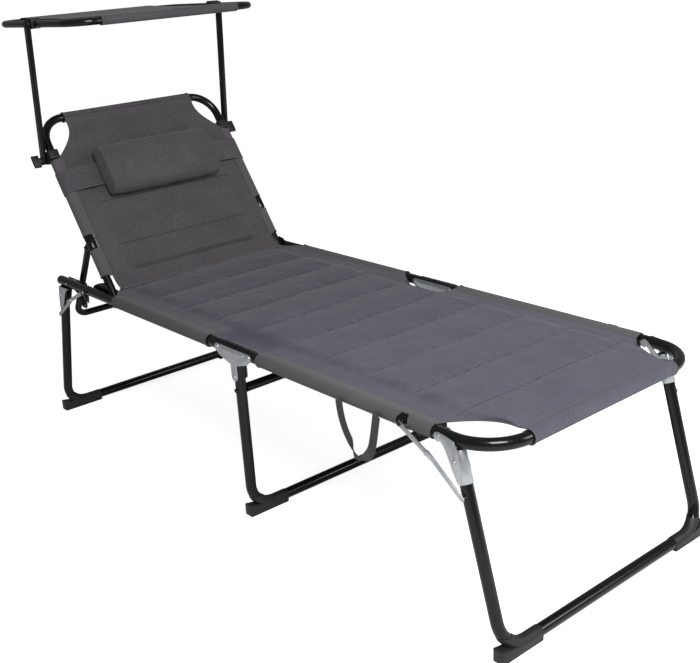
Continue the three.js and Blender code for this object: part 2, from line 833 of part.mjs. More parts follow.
// The carry strap: a hanging loop of webbing with both ends folded onto the near sleeve
function makeStrap(parent) {
  const outerFace = railFace + strapStandOff;
  const lowAt = strapStart + strapLowShare * (strapEnd - strapStart);
  const top = railHeight + strapTopShare * strapWidth;
  const outer = new THREE.Shape();
  outer.moveTo(strapStart, top);
  outer.bezierCurveTo(strapStart, strapBendHeight, lowAt - strapWidth * 2, strapLowest, lowAt, strapLowest);
  outer.bezierCurveTo(lowAt + strapWidth * 2, strapLowest, strapEnd, strapBendHeight, strapEnd, top);
  const innerStart = strapStart + strapWidth;
  const innerEnd = strapEnd - strapWidth;
  const innerLow = strapLowest + strapWidth;
  const hole = new THREE.Shape();
  hole.moveTo(innerStart, top + overrun);
  hole.bezierCurveTo(innerStart, strapBendHeight, lowAt - strapWidth, innerLow, lowAt, innerLow);
  hole.bezierCurveTo(lowAt + strapWidth, innerLow, innerEnd, strapBendHeight, innerEnd, top + overrun);
  const loop = cut(
    sidePlate(outer, -outerFace - strapThickness, -outerFace, strapSegmentsShare),
    sidePlate(hole, -outerFace - strapThickness - overrun, -outerFace + overrun, strapSegmentsShare),
  );
  const sleeveFace = railHalfSpacing + sleeveOuter + touchGap;
  const low = top - strapWidth;
  const tabs = [strapStart, innerEnd].map((x) => box(
    x, x + strapWidth, -outerFace - strapThickness, -sleeveFace, low, top,
  ));
  piece('carry_strap', joined(loop, ...tabs), webbing, parent);
}

// Head leg and foot leg, with their brackets, plugs and stays
function makeLeg(name, leg, stayEnd, parent) {
  const bosses = [1, -1].map((side) => pin(
    spacerRadius, stayEnd.x, stayEnd.y,
    side * leg.yAt(stayEnd.y), side * (lowerLinkFace - touchGap),
  ));
  piece(name, joined(tube(leg.line, legRadius), ...bosses), blackPaint, parent);
}

function makeLegPlugs(name, leg, parent) {
  bothSides(parent, (half, side) => {
    const at = (z) => point(leg.xAt(z), leg.yAt(z), z);
    const plug = straightTube(at(legTopHeight - plugLength), at(legTopHeight), legRadius);
    piece(`${name}_plug_${side}`, plug, blackPlastic, half);
  });
}

// The half collar behind the leg's top, drawn from the slope of the leg
function legCollar(leg, low, high) {
  const at = (z) => point(leg.xAt(z), leg.yAt(z), z);
  const collar = straightTube(at(low), at(high), legRadius + collarWall);
  const side = leg.boltSide;
  const keep = polygon([
    [leg.xAt(low), low - legRadius],
    [leg.xAt(low) - side * legBend, low - legRadius],
    [leg.xAt(high) - side * legBend, high + legRadius],
    [leg.xAt(high), high + legRadius],
  ]);
  return common(collar, sidePlate(keep, 0, railHalfSpacing + legBend));
}

// Cheek outlines, from the bolt towards the leg and from the rail's axis down
const earShares = [
  [0, 0.122], [-0.12, 0.086], [-0.17, 0], [-0.12, -0.086], [0, -0.122], [0.12, -0.086],
  [0.25, -0.17], [0.42, -0.38], [0.6, -0.66], [0.79, -0.93], [0.9, -1], [1.03, -1],
];
const footCheekShares = [...earShares, [0.97, -0.55], [0.88, -0.18], [0.71, 0.03], [0.36, 0.09]];
const innerCheekShares = [...earShares, [0.93, -0.6], [0.73, -0.27], [0.55, -0.18], [0.11, 0.09]];
const headCheekShares = [
  [-0.3, -0.17], [-0.05, -0.22], [0.18, -0.36], [0.36, -0.58], [0.6, -0.91], [0.72, -1], [0.95, -1],
  [0.88, -0.6], [0.75, -0.17],
];

// A bracket folds with its leg: two cheeks, a half collar and the bolt through the rail
function makeLegBracket(name, leg, outerShares, throughBolt, parent) {
  const side = leg.boltSide;
  const width = -side * bracketReach;
  const outerShape = outlineOver(outerShares, leg.boltX, railHeight, width, bracketDrop);
  const innerShape = outlineOver(innerCheekShares, leg.boltX, railHeight, width, bracketDrop);
  const low = railHeight - bracketDrop;
  const rivetX = leg.boltX + width * bracketRivetShare;
  const rivetZ = low + bracketDrop / 2;
  const at = (z) => point(leg.xAt(z), leg.yAt(z), z);
  const legRoom = straightTube(at(low - legBend), at(legTopHeight + overrun), legRadius + touchGap);
  bothSides(parent, (half, sideName) => {
    const solids = [
      sidePlate(outerShape, cheekFace, cheekOuter),
      sidePlate(innerShape, cheekInner - plateThickness, cheekInner),
      legCollar(leg, low, legTopHeight - touchGap),
      pin(rivetHeadRadius, rivetX, rivetZ, cheekFace, cheekOuter + headHeight),
    ];
    const boltEnd = throughBolt ? cheekOuter : railFace;
    solids.push(pin(hingePinRadius, leg.boltX, railHeight, cheekInner - plateThickness, boltEnd));
    if (throughBolt) {
      const headFaces = [cheekOuter - touchGap, cheekOuter + headHeight];
      solids.push(pin(hingeHeadRadius, leg.boltX, railHeight, ...headFaces));
    }
    const bracket = cut(joined(...solids), legRoom);
    piece(`${name}_${sideName}`, bracket, zinc, half);
  });
}

// A folding stay: an upper link on the rail's rivet and a lower link on the leg's boss
function makeStay(name, top, end, upperLength, parent) {
  const lowerLength = top.distanceTo(end) - upperLength + staySlack;
  const knee = elbow(top, end, upperLength, lowerLength);
  const past = knee.clone().sub(top).setLength(linkOverrun).add(knee);
  bothSides(parent, (half, side) => {
    const upper = sidePlate(roundBar(top, past, linkHalfWidth), upperLinkFace, upperLinkOuter);
    const upperHole = pin(linkHole, top.x, top.y, upperLinkFace - overrun, upperLinkOuter + overrun);
    const shank = pin(rivetRadius, knee.x, knee.y, lowerLinkFace, upperLinkOuter);
    const headFaces = [upperLinkOuter - touchGap, upperLinkOuter + headHeight];
    const head = pin(rivetHeadRadius, knee.x, knee.y, ...headFaces);
    piece(`${name}_upper_${side}`, joined(cut(upper, upperHole), shank, head), zinc, half);
    const lower = sidePlate(roundBar(knee, end, linkHalfWidth), lowerLinkFace, lowerLinkOuter);
    const lowerHole = pin(linkHole, knee.x, knee.y, lowerLinkFace - overrun, lowerLinkOuter + overrun);
    piece(`${name}_lower_${side}`, cut(lower, lowerHole), zinc, half);
  });
}

// Backrest, modelled lying along -X from its pivot, its sitting side up
const backBore = backRadius + sleeveGap;
const backOuter = backBore + fabricWall;
const backTuck = backHalfSpacing - tuck;
const backPanelBottom = backRadius - panelThickness + panelDrop;
const backSeams = [backLength, backSeamFirst + 2 * backSeamPitch, backSeamFirst + backSeamPitch,
  backSeamFirst, backSeamLower].map((s) => -s);

function makeBackFrame(parent) {
  const line = new BentLine([
    point(backTail, -backHalfSpacing, 0),
    point(-backLength, -backHalfSpacing, 0),
    point(-backLength, backHalfSpacing, 0),
    point(backTail, backHalfSpacing, 0),
  ], backBend);
  const hole = solidOf(pin(
    hingeHole, 0, 0, backHalfSpacing - backRadius - overrun, backHalfSpacing + backRadius + overrun,
  ));
  const bar = solidOf(tube(line, backRadius)).subtract(hole).subtract(mirroredSolid(hole));
  piece('backrest_frame', geometryOf(bar), blackPaint, parent);
}

// The collar on each side tube that the prop hangs from
function makePropTab(parent, side) {
  const collar = backRadius + touchGap + plateThickness;
  const half = (tabOpeningEnd - tabOpeningStart) / 2 - tabInset;
  const ring = straightTube(
    point(-propPivotAlong - half, backHalfSpacing, 0),
    point(-propPivotAlong + half, backHalfSpacing, 0),
    collar,
  );
  const earFace = backHalfSpacing - propRadius - lap;
  const shape = new THREE.Shape();
  shape.moveTo(-propPivotAlong - half, -touchGap);
  shape.lineTo(-propPivotAlong - tabEarRadius, -propPivotBehind);
  shape.absarc(-propPivotAlong, -propPivotBehind, tabEarRadius, Math.PI, 2 * Math.PI, false);
  shape.lineTo(-propPivotAlong + half, -touchGap);
  const bore = straightTube(
    point(-propPivotAlong - half - overrun, backHalfSpacing, 0),
    point(-propPivotAlong + half + overrun, backHalfSpacing, 0),
    backRadius + touchGap,
  );
  const pinTip = backHalfSpacing + propRadius + touchGap;
  const tab = joined(
    ring,
    sidePlate(shape, earFace - plateThickness, earFace),
    pin(rivetRadius, -propPivotAlong, -propPivotBehind, earFace - touchGap, pinTip + touchGap),
    pin(rivetHeadRadius, -propPivotAlong, -propPivotBehind, pinTip, pinTip + headHeight),
  );
  piece(`prop_tab_${side}`, cut(tab, bore), blackPaint, parent);
}

function makeBackSling(parent) {
  const lowEdge = -backPanelStart;
  const topEdge = -(backLength - tuck);
  const holeStart = handHoleInset - backSleeveEnd;
  const openHalf = backHalfSpacing - backRadius - openSlack;
  const places = [
    [topEdge, topSleeveHalf],
    [topEdge + handHoleCurve / 2, topSleeveHalf],
    ...scallop(
      [topEdge + handHoleCurve, topSleeveHalf + handHoleRise],
      [holeStart, backTuck],
      [holeStart - handHoleCurve, topSleeveHalf + handHoleRise * 2],
    ),
    [-tabOpeningEnd, backTuck],
    [-tabOpeningEnd, openHalf],
    [-tabOpeningStart, openHalf],
    [-tabOpeningStart, backTuck],
    [-backSleeveStart, backTuck],
    [-backSleeveStart, openHalf],
    [lowEdge, openHalf],
  ];
  const panel = quiltedPanel(
    mirroredOutline(places), backSeams, backQuiltHalf, topEdge, lowEdge, backPanelBottom,
  );
  const solids = [panel];
  const bores = [];
  const runs = [[backSleeveStart, tabOpeningStart], [tabOpeningEnd, backSleeveEnd]];
  for (const side of [1, -1]) {
    for (const [from, to] of runs) {
      const y = side * backHalfSpacing;
      solids.push(straightTube(point(-to, y, 0), point(-from, y, 0), backOuter));
      bores.push(straightTube(point(-to - overrun, y, 0), point(-from + overrun, y, 0), backBore));
    }
  }
  const reach = topSleeveHalf + overrun;
  solids.push(straightTube(
    point(-backLength, -topSleeveHalf, 0), point(-backLength, topSleeveHalf, 0), backOuter,
  ));
  bores.push(straightTube(point(-backLength, -reach, 0), point(-backLength, reach, 0), backBore));
  piece('backrest_sling', cut(joined(...solids), ...bores), slingFabric, parent);
}

// The prop: a U of tube that hangs from the tabs, modelled along -X
function makeProp(parent) {
  const line = new BentLine([
    point(propTail, -backHalfSpacing, 0),
    point(-propLength, -backHalfSpacing, 0),
    point(-propLength, backHalfSpacing, 0),
    point(propTail, backHalfSpacing, 0),
  ], propBend);
  const hole = solidOf(pin(
    linkHole, 0, 0, backHalfSpacing - propRadius - overrun, backHalfSpacing + propRadius + overrun,
  ));
  const bar = solidOf(tube(line, propRadius)).subtract(hole).subtract(mirroredSolid(hole));
  piece('prop_frame', geometryOf(bar), blackPaint, parent);
}

// The head pillow, a padded oblong with a seam all round, and its band round the backrest
const bandFront = backPanelBottom + panelThickness + quiltCrown + bandGap;
const bandBack = -(backOuter + bandGap);
const bandSide = backHalfSpacing + backOuter + bandGap;

function makePillow(parent) {
  const base = bandFront + bandThickness + touchGap;
  const across = (pillowEnd - pillowStart) / 2;
  const middle = -(pillowStart + pillowEnd) / 2;
  const rise = pillowHeight - pillowSeam;
  const swell = (x, y) => {
    const u = Math.min(Math.abs(x - middle) / across, 1);
    const v = Math.min(Math.abs(y - pillowOffset) / pillowHalfLength, 1);
    return Math.sqrt(1 - u ** 2) * (1 - v ** 4) ** (1 / 3);
  };
  const xs = pillowStationShares.map((share) => middle + share * across);
  const ys = pillowStationShares.map((share) => pillowOffset + share * pillowHalfLength);
  const body = slab(
    xs, ys,
    (x, y) => base + pillowUnder + pillowSeam + (rise - pillowUnder) * swell(x, y),
    (x, y) => base + pillowUnder * (1 - swell(x, y)),
  );
  const shape = new THREE.Shape();
  const round = pillowCorner;
  const left = middle - across;
  const right = middle + across;
  const low = pillowOffset - pillowHalfLength;
  const high = pillowOffset + pillowHalfLength;
  shape.moveTo(left + round, low);
  shape.lineTo(right - round, low);
  shape.absarc(right - round, low + round, round, -Math.PI / 2, 0);
  shape.absarc(right - round, high - round, round, 0, Math.PI / 2);
  shape.absarc(left + round, high - round, round, Math.PI / 2, Math.PI);
  shape.absarc(left + round, low + round, round, Math.PI, 1.5 * Math.PI);
  const cushion = common(body, planPlate(shape, 0, base + pillowHeight * 2));
  piece('pillow', cushion, canopyCloth, parent);
}

function makePillowBand(parent) {
  const outside = box(
    -bandStart - bandWidth, -bandStart,
    -bandSide - bandThickness, bandSide + bandThickness,
    bandBack - bandThickness, bandFront + bandThickness,
  );
  const inside = box(
    -bandStart - bandWidth - overrun, -bandStart + overrun,
    -bandSide, bandSide,
    bandBack, bandFront,
  );
  piece('pillow_band', cut(outside, inside), webbing, parent);
}

// Canopy: clamps with pins, wing knobs, posts, frame and fabric
const postInner = backHalfSpacing + backOuter + postClearance;
const postOuter = postInner + postWidth;
const knobFace = postOuter + touchGap;

// A block on a side tube, with a pin that points outwards
function clampBlock(tubeY, tubeR, blockShape, pinX, pinZ, pinEnd) {
  const inner = tubeY - tubeR - clampWall;
  const block = sidePlate(blockShape, inner, postInner - touchGap);
  const reach = clampHalfLength + overrun;
  const bore = straightTube(point(-reach, tubeY, 0), point(reach, tubeY, 0), tubeR + touchGap);
  return joined(cut(block, bore), pin(clampPinRadius, pinX, pinZ, postInner - lap, pinEnd));
}

function roundedBlock(xFrom, xTo, zFrom, zTo, round) {
  const shape = new THREE.Shape();
  shape.moveTo(xFrom, zFrom + round);
  shape.absarc(xFrom + round, zFrom + round, round, Math.PI, 1.5 * Math.PI);
  shape.absarc(xTo - round, zFrom + round, round, -Math.PI / 2, 0);
  shape.absarc(xTo - round, zTo - round, round, 0, Math.PI / 2);
  shape.absarc(xFrom + round, zTo - round, round, Math.PI / 2, Math.PI);
  return shape;
}

function makeLowerClamp(parent, side) {
  const shape = roundedBlock(
    -clampHalfLength, clampHalfLength,
    -postClampBehind - clampWall * 2, backRadius + clampWall, clampRound,
  );
  const clamp = clampBlock(
    backHalfSpacing, backRadius, shape, 0, -postClampBehind, knobFace + knobBoreDepth - touchGap,
  );
  const mesh = piece(`canopy_clamp_lower_${side}`, clamp, blackPlastic, parent);
  mesh.position.x = -postClampAlong;
}

function makeWingKnob(parent, side) {
  const wing = sidePlate(
    roundBar(
      new THREE.Vector2(-knobReach, 0), new THREE.Vector2(knobReach, 0), knobWingHalf,
    ),
    knobFace + knobHubLength / 2, knobFace + knobLength,
  );
  const waist = pin(knobHubRadius, 0, 0, knobFace, knobFace + knobHubLength);
  const bore = pin(clampPinRadius + runGap, 0, 0, knobFace - overrun, knobFace + knobBoreDepth);
  const mesh = piece(`wing_knob_${side}`, cut(joined(waist, wing), bore), blackPlastic, parent);
  mesh.position.set(-postClampAlong, 0, -postClampBehind);
}

function makePost(parent, side) {
  const from = new THREE.Vector2(-postLength, 0);
  const to = new THREE.Vector2(0, 0);
  const bar = sidePlate(roundBar(from, to, postDepth / 2), postInner, postOuter);
  const middle = (postInner + postOuter) / 2;
  const flat = postDepth / 2 - postWidth / 2;
  const section = new THREE.Shape();
  section.absarc(0, flat, postWidth / 2, 0, Math.PI);
  section.absarc(0, -flat, postWidth / 2, Math.PI, 2 * Math.PI);
  const length = postLength + postDepth;
  const oval = new THREE.ExtrudeGeometry(section, {
    depth: length,
    bevelEnabled: false,
    curveSegments: arcSegmentsShare,
  });
  oval.rotateZ(Math.PI / 2).rotateY(Math.PI / 2).translate(-postLength - postDepth / 2, middle, 0);
  const holes = [0, -postLength].map((x) => pin(
    clampPinRadius + runGap, x, 0, postInner - overrun, postOuter + overrun,
  ));
  piece(`canopy_post_${side}`, cut(common(bar, oval), ...holes), blackPaint, parent);
}

function makeCanopyFrame(parent) {
  const centre = -canopyOffset;
  const half = new BentLine([
    point(centre - canopyHalfDepth, -overrun, 0),
    point(centre - canopyHalfDepth, canopyHalfWidth, 0),
    point(centre + canopyHalfDepth, canopyHalfWidth, 0),
    point(centre + canopyHalfDepth, -overrun, 0),
  ], canopyBend);
  const loop = solidOf(tube(half, canopyTubeRadius));
  piece('canopy_frame', geometryOf(loop.add(mirroredSolid(loop))), blackPaint, parent);
}

function makeCanopyFabric(parent) {
  const centre = -canopyOffset;
  const bore = canopyTubeRadius + sleeveGap;
  const outer = bore + fabricWall;
  const tuckIn = canopyHalfDepth - canopyTubeRadius + hemLap;
  const bottom = canopyTubeRadius - panelThickness / 2;
  const level = (x) => {
    const share = (x - centre) / tuckIn;
    return bottom - canopySag * (1 - share ** 2);
  };
  const xs = spaced(centre - tuckIn, centre + tuckIn, canopySteps);
  const ys = [-canopyFabricHalf, canopyFabricHalf];
  const sheet = slab(xs, ys, (x) => level(x) + canopyThickness, level);
  const solids = [sheet];
  const bores = [];
  for (const side of [1, -1]) {
    const x = centre + side * canopyHalfDepth;
    const reach = canopyFabricHalf + overrun;
    solids.push(straightTube(point(x, -canopyFabricHalf, 0), point(x, canopyFabricHalf, 0), outer));
    bores.push(straightTube(point(x, -reach, 0), point(x, reach, 0), bore));
  }
  piece('canopy_fabric', cut(joined(...solids), ...bores), canopyCloth, parent);
}

function makeTopClamp(parent, side) {
  const depth = canopyTubeRadius + clampWall;
  const shape = roundedBlock(-clampHalfLength, clampHalfLength, -depth, depth + clampRise, clampRound);
  const tip = postOuter + touchGap;
  const clamp = joined(
    clampBlock(canopyHalfWidth, canopyTubeRadius, shape, 0, 0, tip + touchGap),
    pin(rivetHeadRadius, 0, 0, tip, tip + headHeight),
  );
  piece(`canopy_clamp_top_${side}`, clamp, blackPlastic, parent);
}

// The whole lounger
const lounger = new THREE.Group();

bothSides(lounger, (half, side) => {
  makeHeadRail(half, side);
  makeRack(half, side);
  makePivotBracket(half, side);
  makeHingePlates(half, side);
});
makeHeadSling(lounger);
makeMiddleLeg(lounger);
makeFootPads('middle', middleLeg, lounger);
makeFootFrame(lounger);
makeFootSling(lounger);
makeStrap(lounger);
makeLeg('head_leg', headLeg, headStayEnd, lounger);
makeLeg('foot_leg', footLeg, footStayEnd, lounger);
makeLegPlugs('head_leg', headLeg, lounger);
makeLegPlugs('foot_leg', footLeg, lounger);
makeFootPads('head', headLeg, lounger);
makeFootPads('foot', footLeg, lounger);
makeLegBracket('head_leg_bracket', headLeg, headCheekShares, false, lounger);
makeLegBracket('foot_leg_bracket', footLeg, footCheekShares, true, lounger);
makeStay('head_stay', headStayTop, headStayEnd, headStayUpper, lounger);
makeStay('foot_stay', footStayTop, footStayEnd, footStayUpper, lounger);

const backrest = new THREE.Group();
backrest.position.set(backPivotX, 0, railHeight);
backrest.rotation.y = radians(reclineAngle);
lounger.add(backrest);
makeBackFrame(backrest);
makeBackSling(backrest);
makePillow(backrest);
makePillowBand(backrest);
bothSides(backrest, (half, side) => {
  makePropTab(half, side);
  makeLowerClamp(half, side);
  makeWingKnob(half, side);
});

const prop = new THREE.Group();
prop.position.set(-propPivotAlong, 0, -propPivotBehind);
prop.rotation.y = propTurn - radians(reclineAngle);
backrest.add(prop);
makeProp(prop);

const posts = new THREE.Group();
posts.position.set(-postClampAlong, 0, -postClampBehind);
posts.rotation.y = radians(90 + postLean - reclineAngle);
backrest.add(posts);
bothSides(posts, makePost);

const canopy = new THREE.Group();
canopy.position.x = -postLength;
canopy.rotation.y = -radians(90 + postLean + canopyTilt);
posts.add(canopy);
makeCanopyFrame(canopy);
makeCanopyFabric(canopy);
bothSides(canopy, makeTopClamp);

// The origin lies on the floor under the middle of the whole lounger.
lounger.updateMatrixWorld(true);
const bounds = new THREE.Box3().setFromObject(lounger, true);
const centre = bounds.getCenter(new THREE.Vector3());
lounger.position.set(-centre.x, -centre.y, -bounds.min.z);

export default lounger;
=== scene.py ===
# %% [markdown]
# A folding sun lounger in Blender
#
# The lounger has three tube legs, a seat of quilted cloth, a backrest that reclines, a head
# pillow and a small canopy on two posts. A packed solid model of it comes in as a fixed frame,
# with its joints. Here the tubes and the cloth are drawn again over that frame in finer
# shapes, and every piece gets its finish.

# %% Load the fixed frame
import json
import math

import bpy
from mathutils import Matrix, Vector, noise

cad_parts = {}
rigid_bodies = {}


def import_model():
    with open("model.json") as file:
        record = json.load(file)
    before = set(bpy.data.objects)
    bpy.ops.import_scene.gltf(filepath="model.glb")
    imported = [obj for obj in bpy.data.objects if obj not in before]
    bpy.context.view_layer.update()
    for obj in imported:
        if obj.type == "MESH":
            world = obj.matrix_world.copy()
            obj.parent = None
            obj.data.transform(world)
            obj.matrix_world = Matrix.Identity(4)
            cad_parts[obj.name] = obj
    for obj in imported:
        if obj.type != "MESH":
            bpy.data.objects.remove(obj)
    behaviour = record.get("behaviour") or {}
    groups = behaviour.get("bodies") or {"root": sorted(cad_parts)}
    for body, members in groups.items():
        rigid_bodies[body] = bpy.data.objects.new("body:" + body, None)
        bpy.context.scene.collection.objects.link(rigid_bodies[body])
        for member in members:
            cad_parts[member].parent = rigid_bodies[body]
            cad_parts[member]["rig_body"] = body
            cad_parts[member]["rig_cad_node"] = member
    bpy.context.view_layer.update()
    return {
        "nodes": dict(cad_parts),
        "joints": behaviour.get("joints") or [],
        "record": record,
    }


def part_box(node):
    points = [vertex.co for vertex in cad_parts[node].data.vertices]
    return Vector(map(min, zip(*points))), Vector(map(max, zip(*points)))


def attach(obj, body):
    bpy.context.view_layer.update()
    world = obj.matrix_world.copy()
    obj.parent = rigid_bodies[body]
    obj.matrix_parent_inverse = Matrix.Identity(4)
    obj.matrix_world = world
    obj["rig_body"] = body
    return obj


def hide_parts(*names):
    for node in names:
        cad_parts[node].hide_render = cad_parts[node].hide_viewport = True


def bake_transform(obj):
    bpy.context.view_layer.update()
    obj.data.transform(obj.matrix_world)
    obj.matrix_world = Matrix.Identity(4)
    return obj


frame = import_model()
nodes = frame["nodes"]
body_of_node = {
    node: body
    for body, members in frame["record"]["behaviour"]["bodies"].items()
    for node in members
}
slot_of_node = {part["node"]: part["material_slot"] for part in frame["record"]["subparts"]}
joint_place = {joint["name"]: Vector(joint.get("pos_m", (0, 0, 0))) for joint in frame["joints"]}

# %% [markdown]
# Places are easier to think about from the head end of the rails, on the lounger's centre
# line. `place` turns such a place into the frame's own coordinates. The frame gives the ends
# and the pivots. Radii, bends and the outlines of the cloth are typed, in metres.

# %% Places along the lounger
rail_radius = 0.0125
rail_half = 0.310
head_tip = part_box("head_rail_plug_left")[0].x
centre_y = (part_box("head_rail_left")[1].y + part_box("head_rail_right")[0].y) / 2
rail_height = joint_place["backrest_recline"].z
foot_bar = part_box("foot_frame")[1].x - rail_radius - head_tip
middle = (joint_place["middle_hinge_head"].x + joint_place["middle_hinge_foot"].x) / 2 - head_tip


def place(x, y, z):
    return Vector((head_tip + x, centre_y + y, z))


print("seat length", round(foot_bar, 3), "middle hinge at", round(middle, 3))

# %% [markdown]
# The camera looks from the photograph's viewpoint: off the foot end, a little above the
# lounger, and rolled slightly. A constraint could aim it, but would leave the roll out. So
# its right, up and back directions are worked out, and they are the columns of its matrix.

# %% Camera
azimuth = math.radians(50.58)
elevation = math.radians(19.76)
roll = math.radians(-3.66)
camera_place = place(2.77165, -1.55653, 1.25462)

back_way = Vector((
    math.sin(azimuth) * math.cos(elevation),
    -math.cos(azimuth) * math.cos(elevation),
    math.sin(elevation),
))
right_way = (-back_way).cross(Vector((0, 0, 1))).normalized()
up_way = right_way.cross(-back_way)
rolled_right = right_way * math.cos(roll) + up_way * math.sin(roll)
rolled_up = up_way * math.cos(roll) - right_way * math.sin(roll)


def deselect():
    """An operator acts on all that is selected, so every new piece starts from nothing."""
    bpy.ops.object.select_all(action="DESELECT")


deselect()
bpy.ops.object.camera_add()
camera = bpy.context.object
camera.data.lens = 56.0
camera.data.sensor_width = 36
camera.matrix_world = Matrix.Translation(camera_place) @ Matrix(
    (rolled_right, rolled_up, back_way)
).transposed().to_4x4()
bpy.context.scene.camera = camera
print("camera at", [round(value, 3) for value in camera.location])

# %% [markdown]
# A finish is a net of nodes. Wired one by one, they hide the sum that they make. `Sock` wraps
# one output of a node, so that `1 - mask * 0.5` adds the Math nodes that it needs.

# %% A socket that does arithmetic
class Sock:
    def __init__(self, finish, socket):
        self.finish = finish
        self.socket = socket

    def math(self, operation, *values):
        inputs = dict(enumerate(values))
        return self.finish.node("ShaderNodeMath", {"operation": operation}, inputs)

    def __add__(self, other):
        return self.math("ADD", self, other)

    __radd__ = __add__

    def __mul__(self, other):
        return self.math("MULTIPLY", self, other)

    __rmul__ = __mul__

    def __sub__(self, other):
        return self.math("SUBTRACT", self, other)

    def __rsub__(self, other):
        return self.math("SUBTRACT", other, self)

    def __truediv__(self, other):
        return self.math("DIVIDE", self, other)

    def __rtruediv__(self, other):
        return self.math("DIVIDE", other, self)

    def __mod__(self, other):
        return self.math("FLOORED_MODULO", self, other)

    def __rmod__(self, other):
        return self.math("FLOORED_MODULO", other, self)

    def __lt__(self, other):
        return self.math("LESS_THAN", self, other)

    def __gt__(self, other):
        return self.math("GREATER_THAN", self, other)

    def __abs__(self):
        return self.math("ABSOLUTE", self)

    def sin(self):
        return self.math("SINE", self)


print("reflected operators", [name for name in vars(Sock) if name.startswith("__r")])

# %% [markdown]
# `Finish` holds the nodes of one material, or of the world. Its `node` makes any node from
# its type, its settings and its sockets, and the other methods name the nets that come back.

# %% A finish and its nodes
class Finish:
    def __init__(self, owner):
        owner.use_nodes = True
        self.owner = owner
        self.tree = owner.node_tree
        self.tree.nodes.clear()

    def node(self, kind, settings=None, inputs=None, output=0):
        made = self.tree.nodes.new(kind)
        for key, value in (settings or {}).items():
            setattr(made, key, value)
        for key, value in (inputs or {}).items():
            if isinstance(value, Sock):
                self.tree.links.new(value.socket, made.inputs[key])
            else:
                made.inputs[key].default_value = value
        return Sock(self, made.outputs[output]) if made.outputs else None

    def noise(self, scale, detail, vector=None):
        vector = vector or self.node("ShaderNodeTexCoord", output="Object")
        inputs = {"Vector": vector, "Scale": scale, "Detail": detail}
        return self.node("ShaderNodeTexNoise", inputs=inputs)

    def on_cloth(self):
        """The cloth's own map in metres, whole and as its two measures."""
        seen = self.node("ShaderNodeUVMap", {"uv_map": "cloth"})
        along = self.node("ShaderNodeSeparateXYZ", inputs={0: seen})
        return seen, along, Sock(self, along.socket.node.outputs[1])

    def mix(self, factor, first, second):
        inputs = {0: factor, 6: first, 7: second}
        return self.node("ShaderNodeMix", {"data_type": "RGBA"}, inputs, 2)

    def bump(self, height, distance, strength):
        inputs = {"Height": height, "Distance": distance, "Strength": strength}
        return self.node("ShaderNodeBump", inputs=inputs)

    def surface(self, **inputs):
        named = {key.replace("_", " "): value for key, value in inputs.items()}
        shader = self.node("ShaderNodeBsdfPrincipled", inputs=named)
        self.node("ShaderNodeOutputMaterial", inputs={"Surface": shader})
        print("finish", self.owner.name, "has", len(self.tree.nodes), "nodes")
        return self.owner


def new_finish(name):
    return Finish(bpy.data.materials.new(name))


def colour(red, green, blue):
    """A screen colour, 0 to 255, as the linear colour that a shader takes."""
    return tuple(((value / 255 + 0.055) / 1.055) ** 2.4 for value in (red, green, blue)) + (1.0,)


print("a middle screen grey is", round(colour(128, 128, 128)[0], 3), "in linear light")

# %% [markdown]
# The tubes are powder coated: nearly black and glossy, with a faint orange peel. One flat
# black would look like a hole in the picture. Noise needs no picture and has no seams, so a
# fine noise bumps the coat and a coarse one varies its colour and gloss a little.

# %% Black powder coat
def black_paint():
    paint = new_finish("black_paint")
    peel = paint.noise(scale=900, detail=2)
    dust = paint.noise(scale=35, detail=4)
    return paint.surface(
        Base_Color=paint.mix(dust, colour(11, 11, 12), colour(20, 20, 21)),
        Roughness=dust * 0.1 + 0.14,
        Specular_IOR_Level=0.22,
        Coat_Weight=0.22,
        Coat_Roughness=0.06,
        Normal=paint.bump(peel, distance=0.00006, strength=0.35),
    )


finishes = {"black_paint": black_paint()}

# %% [markdown]
# The brackets and stays are zinc plated sheet, and plating has a soft cloudy grain. A coarse
# noise clouds the colour and the gloss, and a finer one bumps the plate.

# %% Zinc plate
def zinc_plate():
    zinc = new_finish("zinc_plate")
    cloud = zinc.noise(scale=60, detail=5)
    grain = zinc.noise(scale=420, detail=3)
    return zinc.surface(
        Base_Color=zinc.mix(cloud, colour(158, 162, 166), colour(212, 215, 218)),
        Metallic=0.85,
        Roughness=cloud * 0.16 + grain * 0.1 + 0.24,
        Normal=zinc.bump(grain, distance=0.00005, strength=0.4),
    )


finishes["zinc"] = zinc_plate()

# %% [markdown]
# Plugs, foot pads, clamps and knobs are moulded in black plastic. The same two noises make
# it, but it is a little paler than the paint and much duller, so the two blacks stay apart.

# %% Moulded plastic
def black_plastic():
    plastic = new_finish("black_plastic")
    grain = plastic.noise(scale=1100, detail=2)
    scuff = plastic.noise(scale=28, detail=4)
    return plastic.surface(
        Base_Color=plastic.mix(scuff, colour(17, 17, 18), colour(27, 27, 28)),
        Roughness=scuff * 0.18 + 0.46,
        Normal=plastic.bump(grain, distance=0.0001, strength=0.5),
    )


finishes["black_plastic"] = black_plastic()

# %% [markdown]
# The carry strap is webbing with fine ribs. Ribs of real faces would cost far more than they
# show at this size, so two sine waves of the strap's own map colour and bump it.

# %% Ribbed webbing
rib_pitch = 0.0016
cross_rib_pitch = 0.0024


def ribbed_webbing():
    strap = new_finish("ribbed_webbing")
    seen, along, across = strap.on_cloth()
    ribs = (along * (2 * math.pi / rib_pitch)).sin() * 0.6
    ribs = ribs + (across * (2 * math.pi / cross_rib_pitch)).sin() * 0.4
    speck = strap.noise(scale=420, detail=3, vector=seen)
    return strap.surface(
        Base_Color=strap.mix(speck * 0.7 + ribs * 0.15, colour(56, 54, 54), colour(84, 81, 80)),
        Roughness=0.86,
        Normal=strap.bump(ribs, distance=0.0003, strength=0.7),
    )


finishes["webbing"] = ribbed_webbing()

